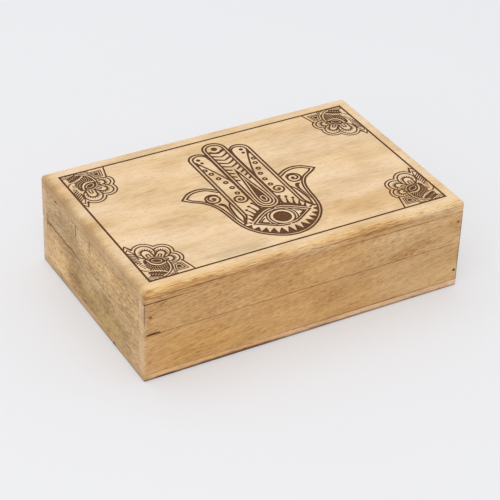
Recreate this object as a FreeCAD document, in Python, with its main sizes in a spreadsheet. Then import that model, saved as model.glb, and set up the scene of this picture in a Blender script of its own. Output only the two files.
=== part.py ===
"""A hinged wooden keepsake box: a shallow base and a lid sawn from one nailed carcass.

Millimetres, +Z up, origin at the middle of the underside. X runs along the length, the
front looks to -Y, and the lid swings back on two small butt hinges let in at the back.
"""
import FreeCAD, Part
import Sketcher
import os
import re

# Driving sizes: alias, value, and what it measures
SIZES = (
    ("box_length", "230", "outer length, left to right"),
    ("box_width", "150", "outer width, front to back"),
    ("box_height", "66.5", "outer height with the lid shut"),
    ("seam_height", "34.2", "height of the saw cut between base and lid"),
    ("seam_gap", "0.3", "width of the saw cut when the lid is shut"),
    ("wall_thick", "7", "front and back boards"),
    ("end_thick", "7", "left and right boards"),
    ("top_thick", "8.6", "top board of the lid"),
    ("bottom_thick", "5", "bottom board"),
    ("edge_ease", "1.2", "sanded radius of the outer corners"),
    ("top_round", "3.2", "round-over along the top edges of the lid"),
    ("hinge_inset", "50", "middle of a hinge, from the end of the box"),
    ("hinge_length", "25", "length of a hinge"),
    ("leaf_thick", "0.8", "thickness of a hinge leaf"),
    ("leaf_setback", "0.3", "leaf edge, inside the inner face of the back board"),
    ("barrel_radius", "1.5", "outer radius of the hinge barrel"),
    ("barrel_setback", "0.2", "back of the barrel, inside the back face of the box"),
    ("barrel_clear", "0.3", "room round the barrel, in the wood and in the other leaf"),
    ("knuckle_count", "3", "knuckles of a hinge, an odd number"),
    ("knuckle_gap", "0.2", "gap between two knuckles"),
    ("pin_radius", "0.75", "radius of the hinge pin"),
    ("pin_clear", "0.05", "running clearance of the pin in its knuckles"),
    ("pin_ease", "0.2", "bevel at the ends of the pin"),
    ("mortise_clear", "0.15", "room at each end of a hinge in its mortise"),
    ("bevel_share", "1.235", "height of the back stop bevel, as a share of its depth"),
    ("screw_spacing", "15", "distance between the two screws of a leaf"),
    ("screw_radius", "0.8", "radius of a screw's shank"),
    ("screw_length", "8", "length of a screw, head included"),
    ("screw_point", "1.6", "length of a screw's point"),
    ("screw_head_radius", "1.4", "radius of a countersunk screw head"),
    ("screw_head_depth", "0.6", "depth of a countersunk screw head"),
    ("screw_slot_width", "0.4", "width of the driver slot"),
    ("screw_slot_depth", "0.3", "depth of the driver slot"),
    ("screw_clear", "0.05", "room round a screw"),
    ("nail_radius", "0.65", "radius of a nail's shank"),
    ("nail_head_radius", "1.05", "radius of a nail's coned head"),
    ("nail_head_depth", "0.8", "depth of a nail's coned head"),
    ("nail_point", "2", "length of a nail's point"),
    ("nail_set", "0.6", "depth that a nail head is punched below the wood"),
    ("nail_clear", "0.05", "room round a nail"),
    ("corner_nail_length", "18", "length of a corner nail, head included"),
    ("bottom_nail_length", "14", "length of a bottom nail, head included"),
    ("lid_nail_left_inset", "4.4", "left lid nails, from the end of the box"),
    ("lid_nail_left_share", "0.55", "left lid nails, as a share of the rail's height"),
    ("lid_nail_right_inset", "3.4", "right lid nails, from the end of the box"),
    ("lid_nail_right_share", "0.7", "right lid nails, as a share of the rail's height"),
    ("base_nail_left_inset", "3.6", "left base nails, from the end of the box"),
    ("base_nail_left_share", "0.3", "left base nails, as a share of the wall's height"),
    ("base_nail_right_inset", "2.8", "right base nails, from the end of the box"),
    ("base_nail_right_share", "0.27", "right base nails, as a share of the wall's height"),
    ("bottom_nail_inset", "45", "bottom nails of a long side, from the end of the box"),
    ("cut_overrun", "1", "how far a cut runs past the face that it opens"),
)

# Places that several pieces share, as formulas on the sizes
BASE_RIM = "(seam_height - seam_gap / 2)"
LID_RIM = "(seam_height + seam_gap / 2)"
LID_CEILING = "(box_height - top_thick)"
FRONT_FACE = "(-box_width / 2)"
BACK_FACE = "(box_width / 2)"
BACK_INSIDE = "(box_width / 2 - wall_thick)"
FRONT_INSIDE = "(wall_thick - box_width / 2)"
RIGHT_END = "(box_length / 2)"
RIGHT_INSIDE = "(box_length / 2 - end_thick)"
AXIS_DEPTH = "(barrel_radius + barrel_setback)"
HINGE_LINE = f"(box_width / 2 - {AXIS_DEPTH})"
HINGE_PLACE = "(box_length / 2 - hinge_inset)"
LEAF_REACH = f"(wall_thick - {AXIS_DEPTH} - leaf_setback)"
SCREW_LINE = f"((barrel_radius + {LEAF_REACH}) / 2)"
KNUCKLE_PITCH = "(hinge_length / knuckle_count)"
WHOLE_TURN = 360
HALF_TURN = 180
QUARTER_TURN = 90

doc = FreeCAD.newDocument("keepsake_box")
sheet = doc.addObject("Spreadsheet::Sheet", "Sizes")
for row, (alias, value, meaning) in enumerate(SIZES, start=1):
    sheet.set(f"A{row}", meaning)
    sheet.set(f"B{row}", value)
    sheet.setAlias(f"B{row}", alias)
doc.recompute()


def cells(formula):
    """The formula with each size name pointing at its cell of the sheet."""
    return re.sub(r"[a-z]+(?:_[a-z]+)+", r"Sizes.\g<0>", formula)


def measure(formula):
    """The formula's value at the present sizes."""
    return float(sheet.evalExpression(cells(formula)))


def new_body(label):
    """An empty body that is named as its piece is."""
    body = doc.addObject("PartDesign::Body", label)
    body.Label = label
    return body


def origin_of(body, role):
    """One of the body's own origin planes or axes."""
    return next(item for item in body.Origin.OriginFeatures if item.Role == role)


def place_at(piece, path, place):
    """Tie a placement's three offsets to the sizes."""
    for axis, formula in zip("xyz", place):
        if formula != "0":
            piece.setExpression(f"{path}.Base.{axis}", cells(formula))


def new_sketch(body, name, role, place):
    """An empty sketch on an origin plane, shifted along the plane's own axes."""
    sketch = body.newObject("Sketcher::SketchObject", name)
    sketch.AttachmentSupport = [(origin_of(body, role), "")]
    sketch.MapMode = "FlatFace"
    place_at(sketch, "AttachmentOffset", place)
    return sketch


def tie_corner(sketch, number, kind, formula):
    """Hold one coordinate of a corner at a formula, or on the sketch's axis where it is zero."""
    if formula == "0":
        axis = -2 if kind == "DistanceX" else -1
        sketch.addConstraint(Sketcher.Constraint("PointOnObject", number, 1, axis))
        return
    place = sketch.addConstraint(Sketcher.Constraint(kind, -1, 1, number, 1, measure(formula)))
    sketch.setExpression(f"Constraints[{place}]", cells(formula))


def outline(body, name, role, corners, place=("0", "0", "0")):
    """A closed outline of straight sides, with every corner tied to the sizes."""
    sketch = new_sketch(body, name, role, place)
    spots = [FreeCAD.Vector(measure(across), measure(along), 0) for across, along in corners]
    for start, end in zip(spots, spots[1:] + spots[:1]):
        sketch.addGeometry(Part.LineSegment(start, end))
    for number, (across, along) in enumerate(corners):
        following = (number + 1) % len(corners)
        sketch.addConstraint(Sketcher.Constraint("Coincident", number, 2, following, 1))
        tie_corner(sketch, number, "DistanceX", across)
        tie_corner(sketch, number, "DistanceY", along)
    return sketch


def rectangle(body, name, role, low, high, place=("0", "0", "0")):
    """A rectangle between two opposite corners."""
    corners = [low, (high[0], low[1]), high, (low[0], high[1])]
    return outline(body, name, role, corners, place)


def circle(body, name, role, radius, place=("0", "0", "0")):
    """A circle about the sketch's origin."""
    sketch = new_sketch(body, name, role, place)
    upright = FreeCAD.Vector(0, 0, 1)
    sketch.addGeometry(Part.Circle(FreeCAD.Vector(), upright, measure(radius)))
    sketch.addConstraint(Sketcher.Constraint("Coincident", 0, 3, -1, 1))
    held = sketch.addConstraint(Sketcher.Constraint("Radius", 0, measure(radius)))
    sketch.setExpression(f"Constraints[{held}]", cells(radius))
    return sketch


def pad(body, name, sketch, length, both_ways=False):
    """Thicken a sketch into a solid."""
    feature = body.newObject("PartDesign::Pad", name)
    feature.Profile = sketch
    feature.SideType = "Symmetric" if both_ways else "One side"
    feature.setExpression("Length", cells(length))
    doc.recompute()
    return feature


def removed(body, feature, volume_before):
    """Recompute after a cut and make sure that it took wood or metal away."""
    doc.recompute()
    if not feature.Shape.Volume < volume_before:
        raise RuntimeError(f"{feature.Name} in {body.Label} cuts nothing")
    return feature


def pocket(body, name, sketch, depth, both_ways=False, backwards=False):
    """Sink a sketch into the body."""
    volume_before = body.Tip.Shape.Volume
    feature = body.newObject("PartDesign::Pocket", name)
    feature.Profile = sketch
    feature.SideType = "Symmetric" if both_ways else "One side"
    feature.Reversed = backwards
    feature.setExpression("Length", cells(depth))
    return removed(body, feature, volume_before)


def bore(body, name, role, place, way, profile):
    """Turn a stepped or coned hole about the sketch's upright axis.

    The profile is a list of radius and depth, from the mouth to the end of the hole, and
    way is the sign of the direction in which the depth runs.
    """
    volume_before = body.Tip.Shape.Volume
    rim = [(radius, f"{way}({depth})") for radius, depth in profile]
    corners = [("0", rim[0][1])] + rim + [("0", rim[-1][1])]
    sketch = outline(body, f"{name}_profile", role, corners, place)
    feature = body.newObject("PartDesign::Groove", name)
    feature.Profile = sketch
    feature.ReferenceAxis = (sketch, ["V_Axis"])
    feature.Angle = WHOLE_TURN
    return removed(body, feature, volume_before)


def ease_edges(body, name, radius, wanted):
    """Round those edges of the body whose middle and direction pass the test."""
    base = body.Tip
    chosen = []
    for number, edge in enumerate(base.Shape.Edges, start=1):
        middle = edge.valueAt((edge.FirstParameter + edge.LastParameter) / 2)
        direction = edge.tangentAt(edge.FirstParameter)
        if wanted(middle, direction):
            chosen.append(f"Edge{number}")
    feature = body.newObject("PartDesign::Fillet", name)
    feature.Base = (base, chosen)
    feature.setExpression("Radius", cells(radius))
    doc.recompute()
    return feature


def same(first, second):
    """Whether two lengths are equal, apart from rounding."""
    return abs(first - second) < Part.Precision.confusion()


def upright(direction):
    """Whether an edge runs straight up or down."""
    return same(abs(direction.z), 1)


def mirror_ends(body, name, originals):
    """Repeat features at the other end of the box."""
    feature = body.newObject("PartDesign::Mirrored", name)
    feature.Originals = originals
    feature.MirrorPlane = (origin_of(body, "YZ_Plane"), [""])
    body.Tip = feature
    doc.recompute()
    return feature


# Nails and screws

def nail_hole(length):
    """Profile of the hole that a punched-in nail leaves."""
    return [
        ("nail_head_radius + nail_clear", "-cut_overrun"),
        ("nail_head_radius + nail_clear", "nail_set"),
        ("nail_radius + nail_clear", "nail_set + nail_head_depth"),
        ("nail_radius + nail_clear", f"nail_set + {length} + nail_clear"),
    ]


def corner_nail_line(row, end):
    """Place across the box, and height, of the nails at one end of the base or the lid."""
    sign = "-" if end == "left" else ""
    across = f"{sign}(box_length / 2 - {row}_nail_{end}_inset)"
    low, high = ("bottom_thick", BASE_RIM) if row == "base" else (LID_RIM, LID_CEILING)
    height = f"{low} + {row}_nail_{end}_share * ({high} - {low})"
    return across, height


def corner_nail_hole(body, name, end, row, face):
    """Hole of the nail that holds a front or back board to an end board."""
    across, height = corner_nail_line(row, end)
    way, start = ("", FRONT_FACE) if face == "front" else ("-", BACK_FACE)
    place = (across, start, height)
    return bore(body, name, "XY_Plane", place, way, nail_hole("corner_nail_length"))


def bottom_nail_hole(body, name, across, along):
    """Hole of a nail driven up through the bottom board."""
    place = (across, "0", f"-({along})")
    return bore(body, name, "XZ_Plane", place, "", nail_hole("bottom_nail_length"))


def nail(label, length):
    """A round nail along +Z, with the top of its head at the origin."""
    body = new_body(label)
    profile = [
        ("0", "0"),
        ("nail_head_radius", "0"),
        ("nail_radius", "nail_head_depth"),
        ("nail_radius", f"{length} - nail_point"),
        ("0", length),
    ]
    feature = body.newObject("PartDesign::Revolution", "shank")
    feature.Profile = outline(body, "half_section", "XZ_Plane", profile)
    feature.ReferenceAxis = (feature.Profile[0], ["V_Axis"])
    feature.Angle = WHOLE_TURN
    doc.recompute()
    return body


def screw(label):
    """A countersunk wood screw along +Z, with the top of its head at the origin."""
    body = new_body(label)
    profile = [
        ("0", "0"),
        ("screw_head_radius", "0"),
        ("screw_radius", "screw_head_depth"),
        ("screw_radius", "screw_length - screw_point"),
        ("0", "screw_length"),
    ]
    feature = body.newObject("PartDesign::Revolution", "shank")
    feature.Profile = outline(body, "half_section", "XZ_Plane", profile)
    feature.ReferenceAxis = (feature.Profile[0], ["V_Axis"])
    feature.Angle = WHOLE_TURN
    doc.recompute()
    low = ("-screw_head_radius - cut_overrun", "-screw_slot_width / 2")
    high = ("screw_head_radius + cut_overrun", "screw_slot_width / 2")
    slot = rectangle(body, "slot_outline", "XY_Plane", low, high)
    pocket(body, "driver_slot", slot, "screw_slot_depth", backwards=True)
    return body


def fastener_group(label, fastener, spots):
    """Separate copies of one fastener: each spot is a place and a turn about X in degrees."""
    copies = []
    for number, (place, turn) in enumerate(spots, start=1):
        copy = doc.addObject("App::Link", f"{label}_{number}")
        copy.LinkedObject = fastener
        copy.Placement.Rotation = FreeCAD.Rotation(FreeCAD.Vector(1, 0, 0), turn)
        place_at(copy, "Placement", place)
        copies.append(copy)
    group = doc.addObject("Part::Compound", label)
    group.Label = label
    group.Links = copies
    doc.recompute()
    return group


def corner_nail_spots(row):
    """Four nails of the base or the lid, driven in from the front and from the back."""
    spots = []
    for end in ("left", "right"):
        across, height = corner_nail_line(row, end)
        spots.append(((across, f"{FRONT_FACE} + nail_set", height), -QUARTER_TURN))
        spots.append(((across, f"{BACK_FACE} - nail_set", height), QUARTER_TURN))
    return spots


# Places of the bottom nails, from the middle of the underside
LONG_SIDE_NAILS = ("bottom_nail_inset - box_length / 2", "box_length / 2 - bottom_nail_inset")
BACK_NAIL_LINE = "box_width / 2 - wall_thick / 2"
FRONT_NAIL_LINE = "wall_thick / 2 - box_width / 2"
BOTTOM_NAILS = [
    (across, along) for along in (BACK_NAIL_LINE, FRONT_NAIL_LINE) for across in LONG_SIDE_NAILS
]


# Boards

def front_board(label, row, low, high):
    """A front board: it runs the full length, over the ends of the side boards."""
    body = new_body(label)
    section = rectangle(body, "section", "YZ_Plane", (FRONT_FACE, low), (FRONT_INSIDE, high))
    pad(body, "board", section, "box_length", both_ways=True)
    face = measure(FRONT_FACE)
    ease_edges(body, "eased_corners", "edge_ease", lambda spot, way: upright(way) and same(spot.y, face))
    for end in ("left", "right"):
        corner_nail_hole(body, f"{end}_nail_hole", end, row, "front")
    return body


def end_board(label, row, end, low, high):
    """A side board, held between the front and back boards."""
    body = new_body(label)
    start = "-box_length / 2" if end == "left" else RIGHT_INSIDE
    section = rectangle(
        body, "section", "YZ_Plane", (FRONT_INSIDE, low), (BACK_INSIDE, high), ("0", "0", start)
    )
    pad(body, "board", section, "end_thick")
    for face in ("front", "back"):
        corner_nail_hole(body, f"{face}_nail_hole", end, row, face)
    return body


def back_board(label, row, far, rim, inward):
    """A back board with its stop bevel, hinge mortises and nail holes.

    inward is the sign of the way from the rim into the wood.
    """
    body = new_body(label)
    bevel_foot = f"{rim} {inward or '+'} bevel_share * {AXIS_DEPTH}"
    corners = [
        (BACK_INSIDE, far),
        (BACK_FACE, far),
        (BACK_FACE, bevel_foot),
        (HINGE_LINE, rim),
        (BACK_INSIDE, rim),
    ]
    section = outline(body, "section", "YZ_Plane", corners)
    pad(body, "board", section, "box_length", both_ways=True)
    face = measure(BACK_FACE)
    ease_edges(body, "eased_corners", "edge_ease", lambda spot, way: upright(way) and same(spot.y, face))
    for end in ("left", "right"):
        corner_nail_hole(body, f"{end}_nail_hole", end, row, "back")
    half = "hinge_length / 2 + mortise_clear"
    low = (f"{HINGE_PLACE} - ({half})", f"{BACK_INSIDE} - cut_overrun")
    high = (f"{HINGE_PLACE} + {half}", HINGE_LINE)
    bed = rectangle(body, "leaf_bed_outline", "XY_Plane", low, high, ("0", "0", rim))
    cuts = [pocket(body, "leaf_bed", bed, "leaf_thick", backwards=inward == "")]
    seat = circle(
        body, "barrel_seat_outline", "YZ_Plane", "barrel_radius + barrel_clear",
        (HINGE_LINE, "seam_height", HINGE_PLACE),
    )
    cuts.append(pocket(body, "barrel_seat", seat, f"2 * ({half})", both_ways=True))
    for side, sign in (("inner", "-"), ("outer", "+")):
        place = (f"{HINGE_PLACE} {sign} screw_spacing / 2", rim, f"-({HINGE_LINE} - {SCREW_LINE})")
        profile = [
            ("screw_radius + screw_clear", "-cut_overrun"),
            ("screw_radius + screw_clear", "screw_length + screw_clear"),
        ]
        cuts.append(bore(body, f"{side}_screw_hole", "XZ_Plane", place, inward, profile))
    mirror_ends(body, "other_hinge", cuts)
    return body


def bottom_board(label):
    """The bottom board, nailed under the four walls and as large as the box."""
    body = new_body(label)
    low = ("-box_length / 2", FRONT_FACE)
    plan = rectangle(body, "plan", "XY_Plane", low, (RIGHT_END, BACK_FACE))
    pad(body, "board", plan, "bottom_thick")
    ease_edges(
        body, "eased_edges", "edge_ease", lambda spot, way: upright(way) or same(spot.z, 0)
    )
    for number, (across, along) in enumerate(BOTTOM_NAILS, start=1):
        bottom_nail_hole(body, f"nail_hole_{number}", across, along)
    return body


def top_board(label):
    """The top board of the lid, rounded over along its four upper edges."""
    body = new_body(label)
    low = ("-box_length / 2", FRONT_FACE)
    plan = rectangle(body, "plan", "XY_Plane", low, (RIGHT_END, BACK_FACE), ("0", "0", LID_CEILING))
    pad(body, "board", plan, "top_thick")
    top = measure("box_height")
    ease_edges(body, "round_over", "top_round", lambda spot, way: same(spot.z, top))
    ease_edges(body, "eased_corners", "edge_ease", lambda spot, way: upright(way))
    return body


# Hinges: each is built about its own axis, which lies along X, and then set in its place

def set_on_hinge_line(piece, side):
    """Put a hinge piece on the hinge line, at the left or right hinge."""
    sign = "-" if side == "left" else ""
    place_at(piece, "Placement", (f"{sign}{HINGE_PLACE}", HINGE_LINE, "seam_height"))


def along_hinge(body, name, original, copies):
    """Repeat a knuckle, or a notch for the other leaf's knuckle, at every second place."""
    feature = body.newObject("PartDesign::LinearPattern", name)
    feature.Originals = [original]
    feature.Direction = (origin_of(body, "X_Axis"), [""])
    feature.Mode = "Spacing"
    feature.setExpression("Offset", cells(f"2 * {KNUCKLE_PITCH}"))
    feature.setExpression("Occurrences", cells(copies))
    body.Tip = feature
    doc.recompute()
    return feature


def hinge_leaf(label, side, level):
    """A pressed leaf: a flat plate with its knuckles rolled round the pin."""
    body = new_body(label)
    outer, inner = ("0", KNUCKLE_PITCH), (KNUCKLE_PITCH, "0")
    outer_count, inner_count = "(knuckle_count + 1) / 2", "(knuckle_count - 1) / 2"
    if level == "base":
        own_start, other_start = outer
        own_count, other_count = outer_count, inner_count
        plate_level, face, inward = "-seam_gap / 2 - leaf_thick", "-seam_gap / 2", "-"
    else:
        own_start, other_start = inner
        own_count, other_count = inner_count, outer_count
        plate_level, face, inward = "seam_gap / 2", "seam_gap / 2", ""

    plate = rectangle(
        body, "plate_outline", "XY_Plane",
        ("-hinge_length / 2", f"-{LEAF_REACH}"), ("hinge_length / 2", "0"), ("0", "0", plate_level),
    )
    pad(body, "plate", plate, "leaf_thick")
    start = f"-hinge_length / 2 + {own_start} + knuckle_gap / 2"
    ring = circle(body, "knuckle_outline", "YZ_Plane", "barrel_radius", ("0", "0", start))
    knuckle = pad(body, "knuckle", ring, f"{KNUCKLE_PITCH} - knuckle_gap")
    along_hinge(body, "knuckles", knuckle, own_count)

    notch_start = f"-hinge_length / 2 + {other_start} - knuckle_gap / 2"
    notch = rectangle(
        body, "notch_outline", "XY_Plane",
        (notch_start, "-barrel_radius - barrel_clear"),
        (f"{notch_start} + {KNUCKLE_PITCH} + knuckle_gap", "cut_overrun"),
    )
    gap = pocket(body, "notch", notch, "2 * (leaf_thick + seam_gap)", both_ways=True)
    along_hinge(body, "notches", gap, other_count)

    hole = circle(body, "pin_hole_outline", "YZ_Plane", "pin_radius + pin_clear")
    pocket(body, "pin_hole", hole, "hinge_length + cut_overrun", both_ways=True)
    countersink = [
        ("screw_head_radius + screw_clear", "-cut_overrun"),
        ("screw_head_radius + screw_clear", "0"),
        ("screw_radius + screw_clear", "screw_head_depth"),
        ("screw_radius + screw_clear", "leaf_thick + cut_overrun"),
    ]
    for end, sign in (("left", "-"), ("right", "")):
        place = (f"{sign}screw_spacing / 2", face, SCREW_LINE)
        bore(body, f"{end}_screw_hole", "XZ_Plane", place, inward, countersink)
    set_on_hinge_line(body, side)
    return body


def hinge_pin(label, side):
    """The pin on which the lid turns, as long as the barrel, with bevelled ends."""
    body = new_body(label)
    ring = circle(body, "pin_outline", "YZ_Plane", "pin_radius")
    shank = pad(body, "pin", ring, "hinge_length - knuckle_gap", both_ways=True)
    rims = [f"Edge{number}" for number, edge in enumerate(shank.Shape.Edges, start=1) if edge.Closed]
    bevel = body.newObject("PartDesign::Chamfer", "pin_ends")
    bevel.Base = (shank, rims)
    bevel.setExpression("Size", cells("pin_ease"))
    set_on_hinge_line(body, side)
    doc.recompute()
    return body


def screw_spots(level):
    """Two screws in each leaf of the base or the lid, heads flush with the leaf."""
    rim, turn = (BASE_RIM, HALF_TURN) if level == "base" else (LID_RIM, 0)
    along = f"{HINGE_LINE} - {SCREW_LINE}"
    spots = []
    for sign in ("-", ""):
        for side in ("-", "+"):
            across = f"{sign}({HINGE_PLACE} {side} screw_spacing / 2)"
            spots.append(((across, along, rim), turn))
    return spots


# The base

pieces = [bottom_board("bottom_board")]
front_wall = front_board("base_front_wall", "base", "bottom_thick", BASE_RIM)
back_wall = back_board("base_back_wall", "base", "bottom_thick", BASE_RIM, "-")
for number, across in enumerate(LONG_SIDE_NAILS, start=1):
    bottom_nail_hole(front_wall, f"bottom_nail_hole_{number}", across, FRONT_NAIL_LINE)
    bottom_nail_hole(back_wall, f"bottom_nail_hole_{number}", across, BACK_NAIL_LINE)
pieces += [
    front_wall,
    back_wall,
    end_board("base_left_wall", "base", "left", "bottom_thick", BASE_RIM),
    end_board("base_right_wall", "base", "right", "bottom_thick", BASE_RIM),
]

# The lid

pieces += [
    top_board("lid_top_board"),
    front_board("lid_front_rail", "lid", LID_RIM, LID_CEILING),
    back_board("lid_back_rail", "lid", LID_CEILING, LID_RIM, ""),
    end_board("lid_left_rail", "lid", "left", LID_RIM, LID_CEILING),
    end_board("lid_right_rail", "lid", "right", LID_RIM, LID_CEILING),
]

# The two hinges

for side in ("left", "right"):
    pieces.append(hinge_leaf(f"{side}_hinge_base_leaf", side, "base"))
    pieces.append(hinge_leaf(f"{side}_hinge_lid_leaf", side, "lid"))
    pieces.append(hinge_pin(f"{side}_hinge_pin", side))

# Fasteners: one pattern of each kind, copied to its places

corner_nail = nail("corner_nail", "corner_nail_length")
bottom_nail = nail("bottom_nail", "bottom_nail_length")
leaf_screw = screw("leaf_screw")
bottom_spots = [((across, along, "nail_set"), 0) for across, along in BOTTOM_NAILS]
pieces += [
    fastener_group("base_corner_nails", corner_nail, corner_nail_spots("base")),
    fastener_group("lid_corner_nails", corner_nail, corner_nail_spots("lid")),
    fastener_group("bottom_board_nails", bottom_nail, bottom_spots),
    fastener_group("base_leaf_screws", leaf_screw, screw_spots("base")),
    fastener_group("lid_leaf_screws", leaf_screw, screw_spots("lid")),
]

doc.recompute()
for item in doc.Objects:
    if "Invalid" in item.State or "Error" in item.State:
        raise RuntimeError(f"{item.Name} could not be built: {item.State}")
for piece in pieces:
    if piece.Shape.isNull() or not piece.Shape.isValid():
        raise RuntimeError(f"{piece.Label} has no valid shape")

os.makedirs("parts", exist_ok=True)
for piece in pieces:
    piece.Shape.exportStep(f"parts/{piece.Label}.step")
    print(f"{piece.Label}: {len(piece.Shape.Solids)} solids, {piece.Shape.Volume:.1f} cubic mm")
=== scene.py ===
# %% [markdown]
# # A keepsake box with an open hand burnt into its lid
# The real box is a shallow carcass of pale boards, nailed at the corners and sawn apart into a
# base and a lid that swings on two small brass hinges. The packed model already holds every board,
# hinge and nail at its true size, so nothing here moves or resizes them. This lesson gives them
# what a maker's hands and tools leave behind: eased edges, grain, burnt lines and dulled metal.

# %% Load the frame
import math
import bmesh
import bpy
import numpy as np
from mathutils import Matrix, Vector, geometry, noise


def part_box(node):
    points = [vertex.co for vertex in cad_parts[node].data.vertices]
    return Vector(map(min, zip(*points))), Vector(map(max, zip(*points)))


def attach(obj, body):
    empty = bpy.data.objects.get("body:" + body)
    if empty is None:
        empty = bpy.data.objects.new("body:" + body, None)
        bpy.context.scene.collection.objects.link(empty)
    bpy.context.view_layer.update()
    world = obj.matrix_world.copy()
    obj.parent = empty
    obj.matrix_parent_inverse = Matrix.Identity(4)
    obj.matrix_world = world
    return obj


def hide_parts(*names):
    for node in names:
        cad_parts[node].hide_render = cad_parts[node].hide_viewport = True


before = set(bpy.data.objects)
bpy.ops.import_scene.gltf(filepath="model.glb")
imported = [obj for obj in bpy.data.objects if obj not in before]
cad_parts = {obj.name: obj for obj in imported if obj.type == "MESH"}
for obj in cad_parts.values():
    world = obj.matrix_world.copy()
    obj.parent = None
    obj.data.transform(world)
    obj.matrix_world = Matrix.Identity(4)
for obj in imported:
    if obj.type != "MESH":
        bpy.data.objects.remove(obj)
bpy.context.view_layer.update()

MM = 0.001

# %% [markdown]
# ## Writing shader sums as plain sums
# A finish such as wood is mostly arithmetic on patterns: a streak, minus a pore, times a strength.
# Wiring each Math node by hand hides that sum. The small class below wraps one socket, so that
# Python's own + - * add the nodes, and one method adds every other kind of node.

# %% A wire that can be added and multiplied
class Wire:
    """One socket of a node tree. Sums on wires add Math nodes, and node() adds any other kind."""

    def __init__(self, tree, socket=None):
        self.tree = tree
        self.socket = socket

    def node(self, kind, inputs=None, output=0, **settings):
        """A new node with these inputs and settings, and a wire from one of its outputs."""
        made = self.tree.nodes.new(kind)
        for key, value in settings.items():
            if key == "stops":
                set_stops(made.color_ramp, value)
            else:
                setattr(made, key, value)
        for key, value in (inputs or {}).items():
            if isinstance(value, Wire):
                self.tree.links.new(value.socket, made.inputs[key])
            else:
                made.inputs[key].default_value = value
        return Wire(self.tree, made.outputs[output] if made.outputs else None)

    def math(self, operation, left, right):
        """A sum of two wires or numbers."""
        return self.node("ShaderNodeMath", {0: left, 1: right}, operation=operation)

    def vector(self, operation, other=None, output=0):
        """Three numbers worked on part by part, or all together, with another three."""
        pair = {0: self} if other is None else {0: self, 1: other}
        return self.node("ShaderNodeVectorMath", pair, output, operation=operation)

    def noise(self, scale, detail, **more):
        """Noise from 0 to 1 at the place that this wire gives."""
        look = {"Vector": self, "Scale": scale, "Detail": detail, **more}
        return self.node("ShaderNodeTexNoise", look)

    def bump(self, strength, deep):
        """Relief that follows this wire, so many millimetres deep."""
        relief = {"Height": self, "Strength": strength, "Distance": deep * MM}
        return self.node("ShaderNodeBump", relief)

    def smooth(self, low, high):
        """0 below low, 1 above high, and an even slope between them."""
        bounds = {"Value": self, "From Min": low, "From Max": high}
        return self.node("ShaderNodeMapRange", bounds, interpolation_type="SMOOTHSTEP")

    def between(self, dark, light):
        """A colour: dark where this wire is 0, and light where it is 1."""
        return self.mixed("MIX", dark, light)

    def tinted(self, colour, tint):
        """The colour, multiplied by a tint as far as this wire says."""
        return self.mixed("MULTIPLY", colour, tint)

    def mixed(self, way, first, second):
        """Two colours mixed in one of Blender's ways, as far as this wire says."""
        colours = {0: self, 6: first, 7: second}
        return self.node("ShaderNodeMix", colours, 2, data_type="RGBA", blend_type=way)


def sign(operation, swapped):
    """What a wire does for one of Python's signs, with the wire before it or after it."""
    if swapped:
        return lambda wire, other: wire.math(operation, other, wire)
    return lambda wire, other: wire.math(operation, wire, other)


for short, operation in (("add", "ADD"), ("sub", "SUBTRACT"), ("mul", "MULTIPLY")):
    setattr(Wire, f"__{short}__", sign(operation, False))
    setattr(Wire, f"__r{short}__", sign(operation, True))


def set_stops(ramp, stops):
    """Gives a colour ramp its stops, a list of (position, colour)."""
    while len(ramp.elements) < len(stops):
        ramp.elements.new(1.0)
    for element, (position, colour) in zip(ramp.elements, stops):
        element.position = position
        element.color = colour


def rgb(red, green, blue):
    """A colour as it is read off a screen, 0 to 255, turned into light as the shader counts it."""
    def light(part):
        """One of the three parts."""
        part = part / 255
        return part / 12.92 if part <= 0.04045 else ((part + 0.055) / 1.055) ** 2.4
    return (light(red), light(green), light(blue), 1.0)


def new_finish(name):
    """An empty material, and a first wire in it that gives each place in millimetres."""
    material = bpy.data.materials.new(name)
    material.use_nodes = True
    material.node_tree.nodes.clear()
    start = Wire(material.node_tree)
    metres = start.node("ShaderNodeTexCoord", output="Object")
    scale = {"Vector": metres, "Scale": (1 / MM, 1 / MM, 1 / MM)}
    return material, start.node("ShaderNodeMapping", scale)


def close_finish(start, inputs):
    """Ends a material in one Principled shader with these inputs."""
    shader = start.node("ShaderNodeBsdfPrincipled", inputs)
    start.node("ShaderNodeOutputMaterial", {"Surface": shader})


print("a wire adds nodes:", [name for name in vars(Wire) if "__" not in name])

# %% [markdown]
# ## Wood
# The boards are cut from one pale, open-pored timber. A picture wrapped round each board would show
# a seam at every edge, so the grain is a solid pattern instead: noise that is drawn out along the
# board, as fibres are, and the same pattern then shows long streaks on a face and fine specks on an
# end. Each board gets its own shift into that pattern, because no two boards match.

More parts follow.
